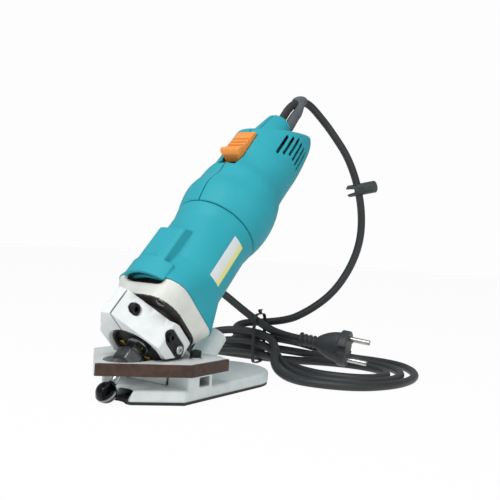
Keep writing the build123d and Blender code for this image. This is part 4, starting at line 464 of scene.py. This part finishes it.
# CUTTER, COLLET AND SPINDLE
# A ball end cutter, black-coated up to its ground shank, with a brazed carbide blade. The collet nut is
# blackened, the spindle behind it ground bright.
cutter_steel = new_finish("cutter_steel", (30, 32, 33), (18, 19, 20), rough=0.14,
                          patch_mm=3, grain_mm=0.4, depth_mm=0.006, metal=0.7)
nodes, links = cutter_steel.node_tree.nodes, cutter_steel.node_tree.links
height = nodes.new("ShaderNodeSeparateXYZ")
links.new(along_spindle(cutter_steel).outputs["Vector"], height.inputs["Vector"])
coat_end = nodes.new("ShaderNodeMapRange")
coat_end.inputs["From Min"].default_value = 0.0076
coat_end.inputs["From Max"].default_value = 0.0084
links.new(height.outputs["Z"], coat_end.inputs["Value"])
bare = nodes.new("ShaderNodeMix")
bare.data_type = "RGBA"
bare.inputs["B"].default_value = (*linear(206, 208, 208), 1)
links.new(coat_end.outputs["Result"], bare.inputs["Factor"])
links.new(nodes["colours"].outputs["Color"], bare.inputs["A"])
links.new(bare.outputs["Result"], nodes["Principled BSDF"].inputs["Base Color"])
dress(cutter_steel, "cutter_body")
carbide = new_finish("carbide", (150, 153, 156), (118, 121, 124), rough=0.25,
                     patch_mm=2, grain_mm=0.2, depth_mm=0.006, metal=1.0)
dress(carbide, "cutter_blade")
nut_black = new_finish("nut_black", (98, 99, 100), (70, 71, 72), rough=0.3,
                       patch_mm=4, grain_mm=0.3, depth_mm=0.012, metal=0.9)
dress(add_rings(nut_black, pitch_mm=0.5, dark=0.15, depth_mm=0.004, wobble=1.0), "collet_nut")
ground = new_finish("ground_steel", (218, 220, 221), (200, 203, 205), rough=0.22,
                    patch_mm=3, grain_mm=0.25, depth_mm=0.004, metal=1.0)
dress(add_rings(ground, pitch_mm=0.35, dark=0.12, depth_mm=0.003, wobble=1.5),
      "collet", "spindle_shaft",
      "front_bearing_outer", "front_bearing_inner", "front_bearing_balls",
      "rear_bearing_outer", "rear_bearing_inner", "rear_bearing_balls")


# MOTOR
# Laminated cores with enamelled copper, a commutator with two carbon brushes in brass holders, and a
# moulded fan and baffle.
sheets = new_finish("core_laminations", (120, 122, 124), (92, 94, 97), rough=0.42,
                    patch_mm=3, grain_mm=0.4, depth_mm=0.02, metal=1.0)
dress(add_rings(sheets, pitch_mm=0.5, dark=0.45, depth_mm=0.05, wobble=0.0), "armature_core", "stator_core")
copper = new_finish("enamelled_copper", (178, 96, 52), (140, 70, 36), rough=0.3,
                    patch_mm=3, grain_mm=0.5, depth_mm=0.05, metal=0.9)
dress(add_rings(copper, pitch_mm=0.6, dark=0.4, depth_mm=0.15, wobble=4.0),
      "armature_windings", "field_coils")
commutator_copper = new_finish("commutator_copper", (196, 118, 70), (166, 92, 50), rough=0.25,
                               patch_mm=2, grain_mm=0.3, depth_mm=0.01, metal=1.0)
dress(commutator_copper, "commutator")
carbon = new_finish("brush_carbon", (52, 52, 54), (36, 36, 38), rough=0.6,
                    patch_mm=2, grain_mm=0.3, depth_mm=0.02)
dress(carbon, "brushes")
brass = new_finish("holder_brass", (206, 172, 96), (176, 142, 74), rough=0.28,
                   patch_mm=4, grain_mm=0.3, depth_mm=0.01, metal=1.0)
dress(brass, "brush_holders")
inner_plastic = new_finish("inner_plastic", (44, 45, 47), (33, 34, 36), rough=0.5,
                           patch_mm=7, grain_mm=0.4, depth_mm=0.02)
dress(inner_plastic, "cooling_fan", "air_baffle", "switch_block", "cord_clamp")


# HOUSING AND HANDLE
# Glass-filled nylon mouldings in teal, with the fine spark-eroded grain of the tool. The housing is one
# piece and the handle two halves, screwed together from the left.
def housing_lines(x, n, s):
    """The housing's rear edge is broken towards the seam, and two fine lines frame the panel on its hood."""
    shell_r, edge_s, edge_run, edge_deep = 31, 161.9, 0.9, 0.6
    side_x, side_front_s, side_rear_s = 7, 96, 125
    front_s, front_left_x = 95.5, -10
    hood_n, line_half, line_deep = 36, 0.6, 0.6
    reach = np.hypot(x, n)
    broken = np.where(reach > shell_r, edge_deep, 0) * np.clip((s - edge_s) / edge_run, 0, 1)
    shrink = 1 - broken / np.maximum(reach, 1)
    beside = np.maximum(abs(x - side_x), np.maximum(side_front_s - s, s - side_rear_s))
    cross = np.maximum(abs(s - front_s), np.maximum(front_left_x - x, x - side_x))
    line = np.where(n > hood_n, np.clip(1.2 - np.minimum(beside, cross) / line_half, 0, 1), 0)
    return x * shrink, n * shrink - line_deep * line, s


def handle_half(side):
    """Gives the shaping of the half on one side, -1 or 1."""
    def handle_lines(x, n, s):
        """The halves stay a hair apart and step in at the seam, and the back is a little hollow."""
        shell_r, edge_s, edge_run, edge_deep = 26, 164.1, 0.9, 0.6
        hollow_s, hollow_run, hollow_deep = 199, 10, 3.2
        joint_gap = 0.32
        reach = np.hypot(x, n)
        joint = np.clip(1.4 - abs(x) / 0.6, 0, 1)
        edge = np.clip(np.clip((edge_s - s) / edge_run, 0, 1) + joint, 0, 1)
        topward = np.clip(n / np.maximum(reach, 1), 0, 1)
        hollow = hollow_deep * np.exp(-((s - hollow_s) / hollow_run) ** 2) * topward ** 2
        shrink = 1 - np.where(reach > shell_r, edge_deep * edge + hollow, 0) / np.maximum(reach, 1)
        return np.where(abs(x) < 1, x + joint_gap * side * joint, x * shrink), n * shrink, s
    return handle_lines


teal = new_finish("teal_nylon", (52, 168, 182), (46, 162, 176), rough=0.5,
                  patch_mm=30, grain_mm=0.5, depth_mm=0.02, corner_shade=0.6, corner_shade_mm=5)
teal.node_tree.nodes["Principled BSDF"].inputs["Specular IOR Level"].default_value = 0.2
housing = softened("motor_housing", "motor", teal, grain_mm=0.55, passes=3, keep=0.25,
                   reshape=housing_lines)
# The faces under the hood that look towards the axis are painted dark as shade, as the air mouth is.
housing.data.materials.append(painted_recess_shade)
hood_front_s, hood_rear_s, hood_low_n, hood_half = 79.2, 104, 22, 18
for face in housing.data.polygons:
    x, n, s = to_spindle(*(face.center * 1000))
    inward = slope * (face.normal.y - face.normal.z)
    if hood_front_s < s < hood_rear_s and n > hood_low_n and abs(x) < hood_half and inward > 0.25:
        face.material_index = 1
softened("handle_left", "motor", teal, grain_mm=0.55, passes=3, keep=0.35,
         reshape=handle_half(-1))
softened("handle_right", "motor", teal, grain_mm=0.55, passes=3, keep=0.35,
         reshape=handle_half(1))


# SWITCH
# An orange slide moulding with a thumb crest and three grip grooves. It sits on top of the handle and
# slides along it.
def thumb_nose(x, n, s):
    """The slider's front lip narrows, draws back and drops to a round nose, and its grooves are deeper."""
    lip_end_s, lip_run, top_n = 226, 10, 34
    narrower, lower, further_back = 0.2, 1.3, 3.5
    groove_half, groove_deep = 0.8, 0.7
    ahead = np.clip((lip_end_s - s) / lip_run, 0, 1) ** 2
    groove = sum(np.clip(1 - abs(s - place) / groove_half, 0, 1) for place in (231, 236, 241))
    sunk = np.where(n > top_n, lower * ahead + groove_deep * groove, 0)
    return x * (1 - narrower * ahead), n - sunk, s + further_back * ahead


orange = new_finish("switch_orange", (248, 156, 70), (244, 148, 62), rough=0.42,
                    patch_mm=8, grain_mm=0.4, depth_mm=0.02, corner_shade=0.85, corner_shade_mm=3)
softened("switch_slider", "switch", orange, grain_mm=0.3, passes=5, keep=0.5,
         reshape=thumb_nose)


# LABEL
# A blank printed foil, stuck to the right of the housing. It is white with a yellow band along its
# lower edge.
foil = new_finish("label_foil", (232, 235, 236), (226, 230, 231), rough=0.32,
                  patch_mm=12, grain_mm=0.5, depth_mm=0.004)
nodes, links = foil.node_tree.nodes, foil.node_tree.links
across = nodes.new("ShaderNodeSeparateXYZ")
links.new(along_spindle(foil).outputs["Vector"], across.inputs["Vector"])
band = nodes.new("ShaderNodeMapRange")
band.inputs["From Min"].default_value = -0.0022
band.inputs["From Max"].default_value = -0.0014
links.new(across.outputs["Y"], band.inputs["Value"])
print_tone = nodes.new("ShaderNodeMix")
print_tone.data_type = "RGBA"
print_tone.inputs["B"].default_value = (*linear(240, 236, 150), 1)
links.new(band.outputs["Result"], print_tone.inputs["Factor"])
links.new(nodes["colours"].outputs["Color"], print_tone.inputs["A"])
links.new(print_tone.outputs["Result"], nodes["Principled BSDF"].inputs["Base Color"])
dress(foil, "label")


# SLEEVE
# A moulded rubber sleeve that keeps the lead from kinking. Its thick root sits in the end of the handle,
# and a tongue runs from there along the inside of the bend to a ring round the lead.
line_only = cord_curve.copy()
line_only.bevel_depth = 0
line_holder = bpy.data.objects.new("cord_line", line_only)
scene.collection.objects.link(line_holder)
lead_line = finished_mesh(line_holder)
cord_places = [v.co.copy() for v in lead_line.vertices]
bpy.data.objects.remove(line_holder)
cord_steps = [0.0]
for here, there in zip(cord_places, cord_places[1:]):
    cord_steps.append(cord_steps[-1] + (there - here).length * 1000)


def on_cord(run):
    """The lead's centre and direction at a length, in millimetres, from its start in the clamp."""
    k = max(i for i in range(len(cord_steps) - 1) if cord_steps[i] <= run)
    share = (run - cord_steps[k]) / (cord_steps[k + 1] - cord_steps[k])
    return cord_places[k].lerp(cord_places[k + 1], share), (cord_places[k + 1] - cord_places[k]).normalized()


def add_tube(work, line, radii, sides=28):
    """Rings of points round a line of centres and directions, joined to a tube and closed at both ends."""
    angles = [2 * math.pi * k / sides for k in range(sides)]
    rings = []
    for (centre, aim), radius in zip(line, radii):
        side = aim.cross(Vector((1, 0, 0))).normalized()
        other = aim.cross(side)
        rings.append([work.verts.new(centre + (side * math.cos(a) + other * math.sin(a)) * radius / 1000)
                      for a in angles])
    for low, high in zip(rings, rings[1:]):
        for k in range(sides):
            work.faces.new((low[k], low[(k + 1) % sides], high[(k + 1) % sides], high[k]))
    work.faces.new(rings[0][::-1])
    work.faces.new(rings[-1])


sleeve_mesh = bpy.data.meshes.new("strain_relief_sleeve")
work = bmesh.new()
root_runs, root_radii = (27.5, 37.4), (9.1, 9.1)
add_tube(work, [on_cord(run) for run in root_runs], root_radii)
ring_runs, ring_radii = (73, 74, 75.5, 78, 80.5, 83, 85, 86), (4.3, 4.9, 5.3, 5.5, 5.5, 5.4, 5.1, 4.4)
add_tube(work, [on_cord(run) for run in ring_runs], ring_radii)
inside_bend = Vector((0.667, 0.44, -0.6))
tongue_start, tongue_length, tongue_steps = 34, 48, 24
tongue, radii = [], []
for k in range(tongue_steps + 1):
    part = k / tongue_steps
    place, aim = on_cord(tongue_start + tongue_length * part)
    off = (inside_bend - aim * inside_bend.dot(aim)).normalized()
    apart = 5.4 + 3.5 * min(part / 0.15, 1) - 7.4 * max(0, (part - 0.6) / 0.4) ** 1.5
    tongue.append((place + off * apart / 1000, aim))
    radii.append(5.0 - 0.7 * part)
add_tube(work, tongue, radii)
work.to_mesh(sleeve_mesh)
work.free()
sleeve = bpy.data.objects.new("strain_relief_sleeve", sleeve_mesh)
scene.collection.objects.link(sleeve)
skin = sleeve.modifiers.new("skin", "REMESH")
skin.mode = "VOXEL"
skin.voxel_size = 0.0004
relax = sleeve.modifiers.new("relax", "SMOOTH")
relax.iterations = 6
sleeve.data = finished_mesh(sleeve)
sleeve.modifiers.clear()
sleeve.data.shade_smooth()
sleeve_rubber = new_finish("sleeve_rubber", (92, 97, 101), (80, 85, 89), rough=0.55,
                           patch_mm=12, grain_mm=0.5, depth_mm=0.04)
sleeve.data.materials.append(sleeve_rubber)
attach(sleeve, "motor")
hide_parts("strain_relief")


# TIE
# A flat black plastic tie, wound once round the hank's waist. Its two ends are twisted together and
# left standing on top.
def add_strip(work, rows, closed):
    """A flat strip from rows of four corners, closed to a loop or at its ends."""
    rows = [[work.verts.new(corner) for corner in row] for row in rows]
    pairs = list(zip(rows, rows[1:]))
    if closed:
        pairs.append((rows[-1], rows[0]))
    for low, high in pairs:
        for k in range(4):
            work.faces.new((low[k], low[(k + 1) % 4], high[(k + 1) % 4], high[k]))
    if not closed:
        work.faces.new(rows[0][::-1])
        work.faces.new(rows[-1])


tie_mesh = bpy.data.meshes.new("cord_tie_band")
work = bmesh.new()
tie_wide, tie_thick = 3.2, 0.9
tie_out, tie_middle = -1.4, 24.2
tie_half_across, tie_half_high = 11.9, 23.1
tie_steps, tie_squareness = 72, 5
rows = []
for k in range(tie_steps):
    turned = 2 * math.pi * k / tie_steps
    east, up = math.cos(turned), math.sin(turned)
    stretch = (abs(east) ** tie_squareness + abs(up) ** tie_squareness) ** (-1 / tie_squareness)
    row = []
    for along, proud in ((-1, 0), (1, 0), (1, 1), (-1, 1)):
        out = tie_out + east * (tie_half_across * stretch + proud * tie_thick)
        high = tie_middle + up * (tie_half_high * stretch + proud * tie_thick)
        row.append(on_bench(along * tie_wide / 2, out, high))
    rows.append(row)
add_strip(work, rows, True)
end_half_wide, end_half_thick, end_steps = 1.2, 0.4, 12
end_high, end_lean, end_apart = 4.6, 1.6, 0.5
for side in (-1, 1):
    rows = []
    for k in range(end_steps + 1):
        part = k / end_steps
        spun = math.pi * part + (0 if side > 0 else math.pi / 2)
        flat = Vector((math.cos(spun), math.sin(spun)))
        thin = Vector((-flat.y, flat.x))
        row = []
        for wide, deep in ((-1, -1), (1, -1), (1, 1), (-1, 1)):
            spot = flat * wide * end_half_wide + thin * deep * end_half_thick
            row.append(on_bench(spot.x + end_apart * side, tie_out + spot.y + end_lean * side * part,
                                tie_middle + tie_half_high + 0.2 + end_high * part))
        rows.append(row)
    add_strip(work, rows, False)
bmesh.ops.recalc_face_normals(work, faces=work.faces)
work.to_mesh(tie_mesh)
work.free()
tie = bpy.data.objects.new("cord_tie_band", tie_mesh)
scene.collection.objects.link(tie)
tie_plastic = new_finish("tie_plastic", (34, 35, 36), (26, 27, 28), rough=0.4,
                         patch_mm=5, grain_mm=0.4, depth_mm=0.02)
tie.data.materials.append(tie_plastic)
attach(tie, "motor")
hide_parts("cord_tie")


# CLIP AND PLUG
# A key holder with a slit end is pushed on the lead. The plug is moulded on the lead's end in soft
# black rubber, round two nickel-plated pins.
clip_plastic = new_finish("clip_plastic", (66, 71, 71), (54, 59, 59), rough=0.42,
                          patch_mm=8, grain_mm=0.5, depth_mm=0.02)
dress(clip_plastic, "cord_clip")
plug_rubber = new_finish("plug_rubber", (60, 62, 64), (50, 52, 54), rough=0.5,
                         patch_mm=8, grain_mm=0.5, depth_mm=0.03)
plug = softened("plug_body", "motor", plug_rubber, grain_mm=0.45, passes=3, keep=0.5)
nickel = new_finish("nickel_pins", (196, 196, 190), (170, 171, 167), rough=0.22,
                    patch_mm=3, grain_mm=0.3, depth_mm=0.006, metal=1.0)
dress(nickel, "plug_pins")
